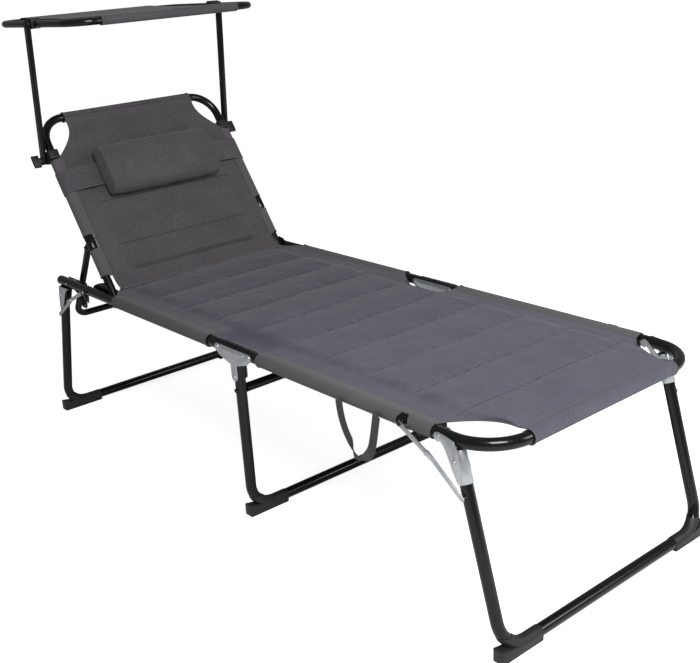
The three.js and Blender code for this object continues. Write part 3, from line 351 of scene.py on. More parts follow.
# %% [markdown]
# The cloth is sewn across its width and along its hems. Stitches as small meshes would be
# thousands, so they are marks in the finish: a thin band of the map, cut by a remainder.

# %% Stitches
stitch_length = 0.0042
stitch_share = 0.72
seam_line = 0.0011
hem_line = 0.0009


def stitched(run):
    """1 on a stitch and 0 between two stitches of a row."""
    return (run % stitch_length) < stitch_length * stitch_share


def sewn_marks(along, across, quilt, hem):
    marks = 0.0
    if quilt:
        last, pitch, half = quilt
        from_seam = abs((along - (last - pitch / 2)) % pitch - pitch / 2)
        marks = (from_seam < seam_line) * stitched(across) * (abs(across) < half)
    if hem:
        marks = marks + (abs(abs(across) - hem) < hem_line) * stitched(along)
    return marks


print("stitches in a metre of seam", round(1 / stitch_length))

# %% [markdown]
# The cloth is a plain weave of coarse polyester with paler threads among dark ones. Each cloth
# piece carries a map in metres, so the threads follow it round its tubes, as a pattern fixed
# in space wouldn't. Two sine waves make the over and under of the threads, and three noises
# make them paler or darker. The seat is darker towards the backrest in the photograph than
# the lamps alone make it, so a painted shade darkens its colour there, deepest next to the
# backrest and fading out along the seat.

# %% Woven cloth
thread_pitch = 0.0011
# Where the seat's painted shade starts, and the length over which it fades out.
painted_shade_start = 0.25
painted_shade_length = 0.95


def shaded(tone, share):
    return tuple(value * share for value in tone[:3]) + (1.0,)


def woven(name, pale, dark, quilt=None, hem=0.0, sleeve=None, seat_painted_shade=None):
    cloth = new_finish(name)
    seen, along, across = cloth.on_cloth()
    turn = 2 * math.pi / thread_pitch
    threads = (along * turn).sin() * (across * turn).sin()
    melange = cloth.noise(scale=330, detail=4, vector=seen)
    cloudy = cloth.noise(scale=11, detail=4, vector=seen)
    drawn_out = cloth.node("ShaderNodeMapping", inputs={0: seen, 3: (1.0, 5.0, 1.0)})
    slub = cloth.noise(scale=70, detail=5, vector=drawn_out)
    tone = (melange * 0.9 + cloudy * 0.5 + slub * 0.8) * 1.3 - 0.93 + threads * 0.12
    tone = cloth.node("ShaderNodeClamp", inputs={0: tone})
    height = threads * 0.4 + melange * 0.5 + slub * 0.9
    base = cloth.mix(tone, dark, pale)
    if sleeve:
        base = cloth.mix(abs(across) > hem, base, cloth.mix(tone, shaded(sleeve, 0.62), sleeve))
    # Painted shade: the seat's colour is darkened towards the backrest.
    if seat_painted_shade:
        reach = cloth.node("ShaderNodeClamp", inputs={0: (along - painted_shade_start) / painted_shade_length})
        share = reach * (1 - seat_painted_shade) + seat_painted_shade
        base = cloth.node("ShaderNodeVectorMath", {"operation": "SCALE"}, {0: base, 3: share})
    if quilt or hem:
        marks = sewn_marks(along, across, quilt, hem)
        base = cloth.mix(marks, base, shaded(dark, 0.45))
        height = height - marks * 1.2
    return cloth.surface(
        Base_Color=base,
        Roughness=0.92 - melange * 0.1,
        Normal=cloth.bump(height, distance=0.00028, strength=0.75),
        Sheen_Weight=0.12,
    )


# %% [markdown]
# Four cloths come out of that one weave. They could share one finish, but the photograph shows
# the seat a little bluer than the rest, and the seams lie differently. The seat and the backrest
# are one fabric, yet the seat's colours are paler: that difference is painted light, a lit copy
# of the fabric on the seat and a shaded copy on the backrest. A quilt is given by where one of
# its seams lies, how far apart they are, and half its width.

# %% Four cloths
seat_quilt = (1.478, 0.1341, 0.25)
back_quilt = (0.124, 0.132, 0.215)
seat_cloth = woven(
    "seat_cloth", pale=colour(92, 89, 103), dark=colour(58, 56, 69),
    quilt=seat_quilt, hem=0.287, sleeve=colour(90, 88, 90), seat_painted_shade=0.6,
)
# The backrest's darker colours are painted shade on the seat's fabric.
back_cloth = woven(
    "backrest_cloth", pale=colour(84, 80, 84), dark=colour(46, 44, 48),
    quilt=back_quilt, hem=0.259, sleeve=colour(85, 82, 85),
)
plain_cloth = woven("canopy_cloth", pale=colour(82, 80, 83), dark=colour(48, 46, 50), hem=0.196)
pillow_cloth = woven("pillow_cloth", pale=colour(86, 82, 87), dark=colour(46, 44, 48))
print("finishes", sorted(finishes), "and four cloths")

# %% [markdown]
# Every piece ends the same way: it gets its material and hides the part that it stands for,
# and most pieces ride on a body. Modifiers could stay live, but each is applied as soon as it
# is set, so that the next step starts from a plain mesh.

# %% Helpers that finish a piece
def mode(name):
    bpy.ops.object.mode_set(mode=name)


def only(piece):
    deselect()
    piece.select_set(True)
    bpy.context.view_layer.objects.active = piece


def apply_modifier(piece, kind, **settings):
    only(piece)
    modifier = piece.modifiers.new(kind.lower(), kind)
    for key, value in settings.items():
        setattr(modifier, key, value)
    bpy.ops.object.modifier_apply(modifier=modifier.name)


def smooth(piece, degrees):
    only(piece)
    bpy.ops.object.shade_smooth_by_angle(angle=math.radians(degrees))


def dress(piece, material):
    piece.data.materials.clear()
    piece.data.materials.append(material)


def join_into(main, extras):
    only(main)
    for extra in extras:
        extra.select_set(True)
    bpy.ops.object.join()
    return main


def stand_for(piece, node):
    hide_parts(node)
    print("piece", piece.name, "stands for", node)


# %% [markdown]
# Brackets, plugs, pads, clamps and posts keep the shape that they have in the frame, where all
# edges are sharp. Modelled again, they might move. So a copy is merged, its flat faces are
# made whole, and a fine bevel gives each edge a line of light. Knobs, clamps and pads are
# moulded rounder.

# %% Small parts keep their shape
def fine_copy(node, edge, name):
    only(nodes[node])
    bpy.ops.object.duplicate()
    piece = bpy.context.object
    piece.name = name
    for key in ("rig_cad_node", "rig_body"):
        del piece[key]
    piece.parent = None
    mode("EDIT")
    bpy.ops.mesh.select_all(action="SELECT")
    bpy.ops.mesh.remove_doubles(threshold=0.00002)
    bpy.ops.mesh.dissolve_limited(angle_limit=math.radians(1))
    mode("OBJECT")
    if piece.data.has_custom_normals:
        bpy.ops.mesh.customdata_custom_splitnormals_clear()
    apply_modifier(
        piece, "BEVEL", width=edge, segments=2, limit_method="ANGLE",
        angle_limit=math.radians(40), use_clamp_overlap=True,
    )
    smooth(piece, 32)
    dress(piece, finishes[slot_of_node[node]])
    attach(piece, body_of_node[node])
    stand_for(piece, node)


tube_nodes = {
    "head_rail_left", "head_rail_right", "middle_leg", "middle_crossbar", "foot_frame",
    "head_leg", "foot_leg", "backrest_frame", "prop_frame", "canopy_frame",
}
rounder = ("wing_knob", "canopy_clamp", "head_foot_pad", "middle_foot_pad", "foot_foot_pad")
rounder_edge = 0.0022
edges = {"zinc": 0.00045, "black_plastic": 0.0009, "black_paint": 0.0006}
small_parts = sorted(
    node for node in set(nodes) - tube_nodes if slot_of_node[node] in edges
)
for node in small_parts:
    edge = rounder_edge if node.startswith(rounder) else edges[slot_of_node[node]]
    fine_copy(node, edge, f"fine_{node}")
print("fine copies", len(small_parts))

# %% [markdown]
# The lounger's frame is bent tube. A curve with a round bevel would draw it, but without true
# arcs. Here it is made as on a tube bender: a ring of points is pushed along each straight
# and turned round the centre of each bend, and the two ends are filled.

# %% Bent tubes
ring_sides = 32
bend_steps = 12


def ring_at(start, way, radius):
    deselect()
    turn = way.to_track_quat("Z", "Y").to_euler()
    bpy.ops.mesh.primitive_circle_add(
        vertices=ring_sides, radius=radius, location=start, rotation=turn,
    )
    bpy.ops.object.transform_apply(location=True, rotation=True, scale=True)
    mode("EDIT")
    bpy.ops.mesh.select_all(action="SELECT")


def push_ring(corners, bend):
    here = corners[0]
    for before, corner, after in zip(corners, corners[1:], corners[2:]):
        into = (corner - before).normalized()
        out = (after - corner).normalized()
        turn = into.angle(out)
        straight_end = corner - into * bend * math.tan(turn / 2)
        inward = (out - into * math.cos(turn)).normalized()
        bpy.ops.mesh.extrude_region_move(TRANSFORM_OT_translate={"value": straight_end - here})
        bpy.ops.mesh.spin(
            steps=bend_steps, angle=-turn, center=straight_end + inward * bend,
            axis=into.cross(out),
        )
        here = corner + out * bend * math.tan(turn / 2)
    bpy.ops.mesh.extrude_region_move(TRANSFORM_OT_translate={"value": corners[-1] - here})


def bent_tube(name, corners, bend, radius):
    ring_at(corners[0], (corners[1] - corners[0]).normalized(), radius)
    push_ring(corners, bend)
    bpy.ops.mesh.select_all(action="SELECT")
    bpy.ops.mesh.remove_doubles(threshold=0.00001)
    bpy.ops.mesh.select_all(action="DESELECT")
    bpy.ops.mesh.select_non_manifold()
    bpy.ops.mesh.edge_face_add()
    bpy.ops.mesh.select_all(action="SELECT")
    bpy.ops.mesh.normals_make_consistent(inside=False)
    mode("OBJECT")
    tube = bpy.context.object
    tube.name = name
    smooth(tube, 40)
    dress(tube, finishes["black_paint"])
    return tube


def tube_piece(name, node, body, corners, bend, radius, rivets=()):
    tube = bent_tube(name, corners, bend, radius)
    if rivets:
        join_into(tube, rivets)
    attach(tube, body)
    stand_for(tube, node)


def u_line(spot, start, end, half):
    """The corners of a U: along one side, across, and back along the other."""
    return [spot(start, -half), spot(end, -half), spot(end, half), spot(start, half)]


# %% [markdown]
# A rivet on a rail carries a stay: a shoulder starts in the tube, a thin neck passes the stay,
# and a flat head holds it. On the legs a plain stud carries the stay's lower end, or holds
# the cross bar. A lathe profile could turn them, but short cylinders with bevelled rims give
# the same steps.

# %% Rivets
rivet_steps = ((0.0, 0.0170, 0.0050), (0.0170, 0.0063, 0.0030), (0.0225, 0.0018, 0.0052))
leg_rivet_reach = 0.0163
leg_rivet_radius = 0.005


def rivet(at, reach, radius):
    """A short cylinder along Y, from its place outwards."""
    deselect()
    bpy.ops.mesh.primitive_cylinder_add(
        vertices=24, radius=radius, depth=abs(reach), location=at + Vector((0, reach / 2, 0)),
        rotation=(math.pi / 2, 0, 0),
    )
    bpy.ops.object.transform_apply(location=True, rotation=True, scale=True)
    made = bpy.context.object
    apply_modifier(made, "BEVEL", width=radius * 0.3, segments=3, limit_method="ANGLE")
    smooth(made, 35)
    dress(made, finishes["black_paint"])
    return made


def rail_rivets(x, sides):
    return [
        rivet(place(x, side * (rail_half + offset), rail_height), side * reach, radius)
        for side in sides
        for offset, reach, radius in rivet_steps
    ]


def leg_rivets(x, z):
    return [
        rivet(place(x, side * rail_half, z), side * leg_rivet_reach, leg_rivet_radius)
        for side in (-1, 1)
    ]


print("rivet heads stand", round(sum(rivet_steps[-1][:2]), 4), "out from the rail's middle")

# %% [markdown]
# The head half of the seat has two straight rails. The foot half is one tube bent to a U. They
# stop just short of each other at the middle hinge, so that both halves can fold.

# %% Head rails and foot frame
foot_bend = 0.095
plug_end = 0.0033
hinge_gap = 0.0025
head_stay_x = joint_place["head_stay_upper_turn"].x - head_tip
foot_stay_x = joint_place["foot_stay_upper_turn"].x - head_tip


def on_rails(x, y):
    return place(x, y, rail_height)


for side, sign in (("left", 1), ("right", -1)):
    ends = [on_rails(x, sign * rail_half) for x in (plug_end, middle - hinge_gap)]
    tube_piece(
        f"head_rail_tube_{side}", f"head_rail_{side}", "seat_head", ends, 0, rail_radius,
        rail_rivets(head_stay_x, [sign]),
    )

foot_line = u_line(on_rails, middle + hinge_gap, foot_bar, rail_half)
tube_piece(
    "foot_frame_tube", "foot_frame", "seat_foot", foot_line, foot_bend, rail_radius,
    rail_rivets(foot_stay_x, (-1, 1)),
)

# %% [markdown]
# Each leg is a U of tube. The sides of the head and foot legs lean along the lounger and
# spread a little towards the floor, and the middle leg stands straight. An upright U could be
# turned, but its ends are easier to place by two levels: one where the lean is known, and
# one where the leg is as wide as the rails.

# %% Legs
leg_bend = 0.060
bar_height = 0.0155
slope_level = 0.320
bracket_level = 0.360
leg_fold = math.radians(15)
leg_top = rail_height - rail_radius - rail_radius * math.sin(leg_fold) - 0.0036
middle_leg_top = rail_height - rail_radius - 0.0023


def leg_corners(top_x, floor_x, floor_half, top):
    slope = (top_x - floor_x) / (slope_level - bar_height)
    spread = (rail_half - floor_half) / (bracket_level - bar_height)
    top_half = floor_half + (top - bar_height) * spread
    top_place = floor_x + (top - bar_height) * slope
    return [
        place(top_place, -top_half, top), place(floor_x, -floor_half, bar_height),
        place(floor_x, floor_half, bar_height), place(top_place, top_half, top),
    ]


def make_leg(node, body, corners, rivet_x, rivet_z):
    pins = leg_rivets(rivet_x, rivet_z)
    tube_piece(f"{node}_tube", node, body, corners, leg_bend, rail_radius, pins)


head_corners = leg_corners(top_x=0, floor_x=-0.065, floor_half=0.318, top=leg_top)
foot_corners = leg_corners(top_x=1.557, floor_x=1.6395, floor_half=0.313, top=leg_top)
middle_corners = leg_corners(middle, middle, floor_half=rail_half, top=middle_leg_top)
make_leg("head_leg", "head_leg", head_corners, rivet_x=-0.0017, rivet_z=0.312)
make_leg("foot_leg", "foot_leg", foot_corners, rivet_x=1.5603, rivet_z=0.308)
make_leg("middle_leg", "mid_bracket", middle_corners, rivet_x=middle, rivet_z=0.318)

# %% [markdown]
# A thinner bar crosses the middle leg near its top and keeps the two sides apart. It is
# straight, so the tube helper makes it from two corners and no bend.

# %% Cross bar of the middle leg
crossbar_half = 0.2972
crossbar_height = 0.318
crossbar_radius = 0.0105
bar_ends = [place(middle, side * crossbar_half, crossbar_height) for side in (-1, 1)]
tube_piece(
    "middle_crossbar_tube", "middle_crossbar", "mid_bracket", bar_ends, 0, crossbar_radius,
)

# %% [markdown]
# The backrest is a U of thinner tube that leans back. Its cloth, its pillow and its band lie
# on it too. Each could be made flat and then turned. Here `on_backrest` serves them all: it
# places a point by its distance up the backrest, across it, and in front of it.

# %% Backrest tube
recline = math.radians(55)
back_radius = 0.011
back_half = 0.277
back_length = 0.525
back_bend = 0.070
back_tail = 0.014
back_pivot = joint_place["backrest_recline"]


def on_backrest(up, across, front=0):
    x = back_pivot.x - up * math.cos(recline) + front * math.sin(recline)
    z = back_pivot.z + up * math.sin(recline) + front * math.cos(recline)
    return Vector((x, centre_y + across, z))


back_line = u_line(on_backrest, -back_tail, back_length, back_half)
tube_piece("backrest_tube", "backrest_frame", "backrest", back_line, back_bend, back_radius)

# %% [markdown]
# The prop is a thin U that hangs from the backrest and stands in the rack of the rails. Its
# direction isn't typed: it runs from its pivot to the place where its bar rests.

# %% Prop tube
prop_radius = 0.009
prop_bend = 0.034
prop_tail = 0.007
prop_pivot = joint_place["prop_swing"]
prop_way = place(-0.004, 0, 0.296) - prop_pivot
prop_way.y = 0
prop_reach = prop_way.length
prop_way.normalize()


def on_prop(down, across):
    return Vector((prop_pivot.x, centre_y + across, prop_pivot.z)) + prop_way * down


prop_line = u_line(on_prop, -prop_tail, prop_reach, back_half)
tube_piece("prop_tube", "prop_frame", "prop", prop_line, prop_bend, prop_radius)

# %% [markdown]
# The canopy's frame is a closed ring of thin tube. The same helper draws it: the line starts
# and ends in the middle of one long bar, where the two end rings are merged.

# %% Canopy tube
canopy_radius = 0.009
canopy_bend = 0.067
canopy_tilt = math.radians(1.2)
canopy_offset = 0.0057
canopy_depth = 0.228
canopy_half = 0.278
canopy_pivot = joint_place["canopy_tilt"]
near_end = -canopy_offset - canopy_depth
far_end = -canopy_offset + canopy_depth


def on_canopy(along, across, up=0):
    x = canopy_pivot.x + along * math.cos(canopy_tilt) - up * math.sin(canopy_tilt)
    z = canopy_pivot.z + along * math.sin(canopy_tilt) + up * math.cos(canopy_tilt)
    return Vector((x, centre_y + across, z))


ring = [
    on_canopy(near_end, 0), on_canopy(near_end, canopy_half), on_canopy(far_end, canopy_half),
    on_canopy(far_end, -canopy_half), on_canopy(near_end, -canopy_half), on_canopy(near_end, 0),
]
tube_piece("canopy_tube", "canopy_frame", "canopy", ring, canopy_bend, canopy_radius)

# %% [markdown]
# The cloth is cut flat and sewn round tubes. It could be draped by simulation, but each edge
# and sleeve has a known place. So a flat grid is made, and a function says where each point
# goes and where it lay on the flat cloth. That second pair is the map of the weave.

# %% A grid that becomes cloth
def cloth_grid(name, rows, columns, locate):
    """locate gives, for shares u and v, a place and its measured place on the flat cloth."""
    deselect()
    bpy.ops.mesh.primitive_grid_add(x_subdivisions=rows, y_subdivisions=columns, size=1)
    piece = bpy.context.object
    piece.name = name
    mesh = piece.data
    shares = [(point.co.x + 0.5, point.co.y + 0.5) for point in mesh.vertices]
    found = [locate(u, v) for u, v in shares]
    for layer in list(mesh.uv_layers):
        mesh.uv_layers.remove(layer)
    layer = mesh.uv_layers.new(name="cloth")
    for loop in mesh.loops:
        layer.data[loop.index].uv = found[loop.vertex_index][1]
    for point, (at, flat) in zip(mesh.vertices, found):
        point.co = at
    print("cloth grid", name, "points", len(mesh.vertices))
    return piece, found, shares


def cut_away(mesh, lost):
    """Deletes the faces that have a lost point, and the points left over."""
    for face in mesh.polygons:
        face.select = any(i in lost for i in face.vertices)
    for edge in mesh.edges:
        edge.select = False
    for point in mesh.vertices:
        point.select = False
    mode("EDIT")
    bpy.ops.mesh.select_mode(type="FACE")
    bpy.ops.mesh.delete(type="FACE")
    bpy.ops.mesh.select_mode(type="VERT")
    bpy.ops.mesh.select_all(action="DESELECT")
    bpy.ops.mesh.select_loose()
    bpy.ops.mesh.delete(type="VERT")
    mode("OBJECT")


# %% [markdown]
# The cut edges are bound with a thin tape. The cloth's open edges are copied, made a curve
# and given a round bevel, so the tape follows every cut. Its map lies past the hems, where
# the sleeves' tone is.

# %% Bound edges
tape_radius = 0.0016
tape_across = 0.3


def edge_binding(piece, untaped):
    """A thin round tape along the open edges of a cloth that has no wall yet."""
    only(piece)
    bpy.ops.object.duplicate()
    mode("EDIT")
    bpy.ops.mesh.select_mode(type="EDGE")
    bpy.ops.mesh.select_all(action="DESELECT")
    bpy.ops.mesh.select_non_manifold(use_wire=False, use_multi_face=False, use_non_contiguous=False)
    bpy.ops.mesh.select_all(action="INVERT")
    bpy.ops.mesh.delete(type="EDGE")
    bpy.ops.mesh.select_mode(type="VERT")
    mode("OBJECT")
    bpy.ops.object.convert(target="CURVE")
    bpy.context.object.data.bevel_depth = tape_radius
    bpy.context.object.data.bevel_resolution = 1
    bpy.ops.object.convert(target="MESH")
    tape = bpy.context.object
    if untaped:
        for point in tape.data.vertices:
            point.select = untaped(point.co)
        mode("EDIT")
        bpy.ops.mesh.delete(type="VERT")
        mode("OBJECT")
    for layer in list(tape.data.uv_layers):
        tape.data.uv_layers.remove(layer)
    layer = tape.data.uv_layers.new(name="cloth")
    for loop in tape.data.loops:
        at = tape.data.vertices[loop.vertex_index].co
        layer.data[loop.index].uv = (at.x + at.z, tape_across)
    print("bound edge", piece.name, "faces", len(tape.data.polygons))
    return tape


# %% [markdown]
# Solidify gives the cloth its wall on the inner side. It keeps the first points where they
# were, so a quilted cloth can be puffed up afterwards by moving just those along their
# normals, as wadding does between two seams.

# %% A whole cloth piece
cloth_wall = 0.0018
sleeve_gap = 0.0008


def cloth_piece(
    name, finish, rows, columns, locate, cut=None, wall=cloth_wall, puff=None, bound=True,
    untaped=None,
):
    piece, found, shares = cloth_grid(name, rows, columns, locate)
    mesh = piece.data
    if cut:
        cut_away(mesh, {i for i, (at, flat) in enumerate(found) if cut(at, flat, shares[i])})
    binding = edge_binding(piece, untaped) if bound else None
    normals = [point.normal.copy() for point in mesh.vertices]
    layer = mesh.uv_layers["cloth"]
    flats = {loop.vertex_index: layer.data[loop.index].uv.copy() for loop in mesh.loops}
    apply_modifier(piece, "SOLIDIFY", thickness=wall, offset=-1)
    if puff:
        for i, normal in enumerate(normals):
            piece.data.vertices[i].co += normal * puff(*flats[i])
    if binding:
        join_into(piece, [binding])
    smooth(piece, 50)
    dress(piece, finish)
    return piece


# %% [markdown]
# A quilted panel is fullest between two seams, puckers at each seam, and has long ripples.
# A sine and noise at fixed places are used, because they give the same cloth at every run.

# %% Quilting
seam_fade = 0.03
ripple_margin = 0.035
noise_level = 0.37


def smooth_share(value):
    value = min(max(value, 0.0), 1.0)
    return value * value * (3 - 2 * value)


def wrinkle(along, across, size, height):
    """A small fold of the cloth, the same at every run."""
    return height * noise.noise(Vector((along / size, across / size, noise_level)))


def quilt_rise(along, across, quilt, crown, loose):
    """The puff of the quilt. loose is 1 on the panels and 0 where the cloth is held taut."""
    last, pitch, half = quilt
    arch = math.sin(math.pi * (((along - last) / pitch) % 1.0))
    fade = smooth_share((half - abs(across)) / seam_fade) * loose
    free = smooth_share((half + ripple_margin - abs(across)) / seam_fade) * loose
    pucker = wrinkle(along * 0.35, across, size=0.011, height=0.0026) * (1 - arch)
    ripple = wrinkle(along * 2.0, across * 0.7, size=0.055, height=0.0016)
    swell = wrinkle(along, across, size=0.13, height=0.0024)
    return (crown * math.sqrt(arch) + pucker) * fade + (ripple + swell) * free


print("puff between two seams", round(quilt_rise(1.411, 0, seat_quilt, 0.0085, 1), 4))

# %% [markdown]
# The seat cloth lies between the rails and closes round them as sleeves. Its edge is cut
# back at the head end, at the middle hinge and at the round corners of the foot frame. One
# function gives half its width at every place, which is easier to change than a drawn outline.

# %% Outline of the seat cloth
head_cloth_half = 0.2624
seat_start = 0.252
sleeve_start = 0.312
opening_start = 0.750
opening_end = 0.945
opening_edge = 0.301
opening_half = 0.276
opening_ramp = 0.060
side_end = 1.483
corner_half = 0.286
foot_half = 0.215
corner_end = foot_bar - 0.036


def seat_half(x):
    if x < sleeve_start:
        share = (x - seat_start) / (sleeve_start - seat_start)
        return head_cloth_half + (rail_half - head_cloth_half) * share
    if x < opening_start:
        return rail_half
    if x < opening_end:
        depth = min(x - opening_start, opening_end - x) / opening_ramp
        return opening_edge - (opening_edge - opening_half) * smooth_share(depth)
    if x < side_end:
        return rail_half
    share = min((x - side_end) / (corner_end - side_end), 1.0)
    return corner_half - (corner_half - foot_half) * (1 - (1 - share) ** 2)


def has_sleeve(x):
    return sleeve_start <= x <= opening_start or opening_end <= x <= side_end


print("seat cloth half width at the middle hinge", round(seat_half(middle), 3))

# %% [markdown]
# Beside the middle hinge nothing holds the edge, so it hangs lower. The near and far sleeve
# of the foot half also have a round hole on their outer side, for the rivet of the stay. A
# hole cut from a grid is jagged, so the points around it first move onto a circle.

# %% Section of the seat cloth
sleeve_radius = rail_radius + sleeve_gap + cloth_wall
sleeve_turn = math.radians(290)
seat_level = rail_height + 0.0112
flat_share = 0.65
edge_fade = 0.028
opening_droop = 0.016
droop_ramp = 0.022
droop_reach = 0.07
hole_radius = 0.0175
hole_rim = 0.0042
outer_side = rail_half + 0.004


def shares_across(v):
    """Shares across the flat cloth and then round its sleeve, for v from hem to hem."""
    reach = abs(v - 0.5) * 2
    return min(reach / flat_share, 1.0), max(reach - flat_share, 0) / (1 - flat_share)


def droop(x, across, half):
    span = smooth_share(min(x - opening_start, opening_end - x) / droop_ramp)
    return opening_droop * span * smooth_share((across - half + droop_reach) / droop_reach)


def to_hole(x, z):
    away = math.hypot(x - foot_stay_x, z - rail_height)
    if hole_radius <= away < hole_radius + hole_rim:
        share = hole_radius / away
        return foot_stay_x + (x - foot_stay_x) * share, rail_height + (z - rail_height) * share
    return x, z


def seat_section(x, v):
    """The place on the section at x, and its distance from the centre line on the flat cloth."""
    side = -1 if v < 0.5 else 1
    half = seat_half(x)
    inside, turned = shares_across(v)
    across = inside * half
    flat = across
    top = sleeve_radius if has_sleeve(x) else seat_level - rail_height
    edge = smooth_share((across - half + edge_fade) / edge_fade)
    z = seat_level + (rail_height + top - seat_level) * edge - droop(x, across, half)
    if inside >= 1.0:
        angle = math.pi / 2 - turned * sleeve_turn
        across = half + sleeve_radius * math.cos(angle)
        z = rail_height + sleeve_radius * math.sin(angle)
        flat = half + turned * sleeve_turn * sleeve_radius
        if across > outer_side:
            x, z = to_hole(x, z)
    return place(x, side * across, z), side * flat


print("a sleeve takes", round(sleeve_turn * sleeve_radius, 3), "of cloth")

# %% [markdown]
# The panels of the seat are puffed where the cloth is loose, and taut at the head end and over
# the foot bar. The cut drops the sleeves where the outline says that there are none.

# %% Puff and cut of the seat cloth
seat_crown = 0.0085


def past_flat(v):
    return abs(v - 0.5) * 2 > flat_share + 0.001


def seat_puff(along, across):
    taut_foot = smooth_share((foot_bar - 0.012 - along) / 0.05)
    taut_head = smooth_share((along - seat_start) / 0.02)
    return quilt_rise(along, across, seat_quilt, seat_crown, taut_foot * taut_head)


def seat_cut(at, flat, share):
    x = at.x - head_tip
    hole = math.hypot(x - foot_stay_x, at.z - rail_height) < hole_radius - 0.00001
    outside = abs(at.y - centre_y) > outer_side
    return past_flat(share[1]) and (not has_sleeve(x) or hole and outside)


print("seat crown", seat_crown, "sewn every", seat_quilt[1])

# %% [markdown] The head half of the seat cloth is flat between two sleeves.

# %% Seat cloth, head half
cloth_columns = 160


def head_seat_at(u, v):
    x = seat_start + u * (middle - seat_start)
    at, flat = seat_section(x, v)
    return at, (x, flat)


head_seat = cloth_piece(
    "seat_cloth_head", seat_cloth, 152, cloth_columns, head_seat_at, seat_cut, puff=seat_puff,
)
place(opening_start + 0.004, 0, rail_height)
place(middle - 0.002, 0, rail_height)
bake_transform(head_seat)
stand_for(head_seat, "seat_sling_head")

# %% [markdown]
# The foot half also closes round the foot bar with its last rows. Its sleeves are cut away at
# the corners, and the tape is left out where the folded leg bracket comes close.

# %% Seat cloth, foot half
bar_from = 0.94
bar_fade = 0.03


def foot_seat_at(u, v):
    if u <= bar_from:
        x = middle + u / bar_from * (foot_bar - middle)
        at, flat = seat_section(x, v)
        reach = smooth_share((x - foot_bar + bar_fade) / bar_fade)
        if abs(flat) <= seat_half(x) + 0.0001:
            at.z += (rail_height + sleeve_radius - at.z) * reach
        return at, (x, flat)
    turned = (u - bar_from) / (1 - bar_from) * sleeve_turn
    x = foot_bar + sleeve_radius * math.sin(turned)
    z = rail_height + sleeve_radius * math.cos(turned)
    across = max(-1.0, min(1.0, (v - 0.5) * 2 / flat_share)) * foot_half
    return place(x, across, z), (foot_bar + turned * sleeve_radius, across)


def foot_cut(at, flat, share):
    if share[0] > bar_from or at.x - head_tip > side_end:
        return past_flat(share[1])
    return seat_cut(at, flat, share)


def clear_of_bracket(at):
    return at.x - head_tip > side_end - 0.02 and abs(at.y - centre_y) > rail_half + 0.002


foot_seat = cloth_piece(
    "seat_cloth_foot", seat_cloth, 210, cloth_columns, foot_seat_at, foot_cut, puff=seat_puff,
    untaped=clear_of_bracket,
)
place(middle + 0.002, 0, rail_height)
place(opening_end - 0.004, 0, rail_height)
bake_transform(foot_seat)
stand_for(foot_seat, "seat_sling_foot")
print("seat cloth faces", len(head_seat.data.polygons) + len(foot_seat.data.polygons))

# %% [markdown]
# The backrest cloth is made the same way on its leaning plane. A gap in each sleeve leaves
# room for the prop's tab. Above the sleeves its edge runs in to the bar, which leaves a hand
# hole in each upper corner. At the bottom one curve leads it over into the seat cloth.

# %% Outline of the backrest cloth
back_level = 0.0105
tab_from = 0.127
tab_to = 0.171
sleeve_from = 0.020
sleeve_to = 0.402
tab_edge = 0.2655
hand_hole_edge = 0.268
hand_hole_end = back_length - 0.030
top_half = 0.203
curve_up = 0.05


def back_half_at(up):
    if up < sleeve_from or tab_from < up < tab_to:
        return tab_edge
    if up <= sleeve_to:
        return back_half
    share = min((up - sleeve_to) / (hand_hole_end - sleeve_to), 1.0)
    return hand_hole_edge - (hand_hole_edge - top_half) * math.sin(share * math.pi / 2)


def back_has_sleeve(up):
    return sleeve_from <= up <= tab_from or tab_to <= up <= sleeve_to


def crease_place(share):
    """From the seat cloth, at 0, up to the straight part of the backrest, at 1."""
    low = place(0.264, 0, seat_level + 0.0026)
    high = on_backrest(curve_up, 0, back_level)
    slack = on_backrest(0.006, 0, back_level)
    slack.z = low.z
    return low * (1 - share) ** 2 + slack * 2 * share * (1 - share) + high * share ** 2


print("hand holes end", round(back_length - hand_hole_end, 3), "below the bar")

# %% [markdown]
# The rows of the grid are shared out between the curve at the bottom, the straight part, and
# the sleeve round the top bar. The columns run from left to right here, because the upper
# side of the cloth has to face forward.

# %% Places on the backrest cloth
back_sleeve = back_radius + sleeve_gap + cloth_wall
crease_rows = 0.07
top_rows = 0.93


def back_top_at(turned, across):
    up = back_length + back_sleeve * math.sin(turned)
    at = on_backrest(up, across, back_sleeve * math.cos(turned))
    return at, back_length + turned * back_sleeve


def backrest_at(u, v):
    side = 1 if v < 0.5 else -1
    inside, turned = shares_across(v)
    if u < crease_rows:
        at = crease_place(u / crease_rows)
        at.y = centre_y + side * inside * head_cloth_half
        along = curve_up * u / crease_rows - 0.012
        return at, (along, side * (inside * head_cloth_half + turned))
    if u > top_rows:
        round_bar = (u - top_rows) / (1 - top_rows) * sleeve_turn
        at, along = back_top_at(round_bar, side * inside * top_half)
        return at, (along, side * (inside * top_half + turned))
    up = curve_up + (u - crease_rows) / (top_rows - crease_rows) * (back_length - curve_up)
    half = back_half_at(up)
    across = inside * half
    edge = smooth_share((across - half + edge_fade) / edge_fade) if back_has_sleeve(up) else 0
    reach = max(edge, smooth_share((up - back_length + bar_fade) / bar_fade))
    front = back_level + (back_sleeve - back_level) * reach
    if turned <= 0:
        return on_backrest(up, side * across, front), (up, side * across)
    angle = turned * sleeve_turn
    across = half + back_sleeve * math.sin(angle)
    at = on_backrest(up, side * across, back_sleeve * math.cos(angle))
    return at, (up, side * (half + angle * back_sleeve))


def backrest_cut(at, flat, share):
    straight = crease_rows < share[0] < top_rows
    return past_flat(share[1]) and not (straight and back_has_sleeve(flat[0]))


print("rows on the straight part", round(top_rows - crease_rows, 2))

# %% [markdown]
# The backrest is quilted more thickly than the seat. Where the pillow slides over it, the
# wadding is pressed to half its height, and the cloth in the crease only wrinkles.

# %% Backrest cloth
back_crown = 0.013
crease_top = 0.043


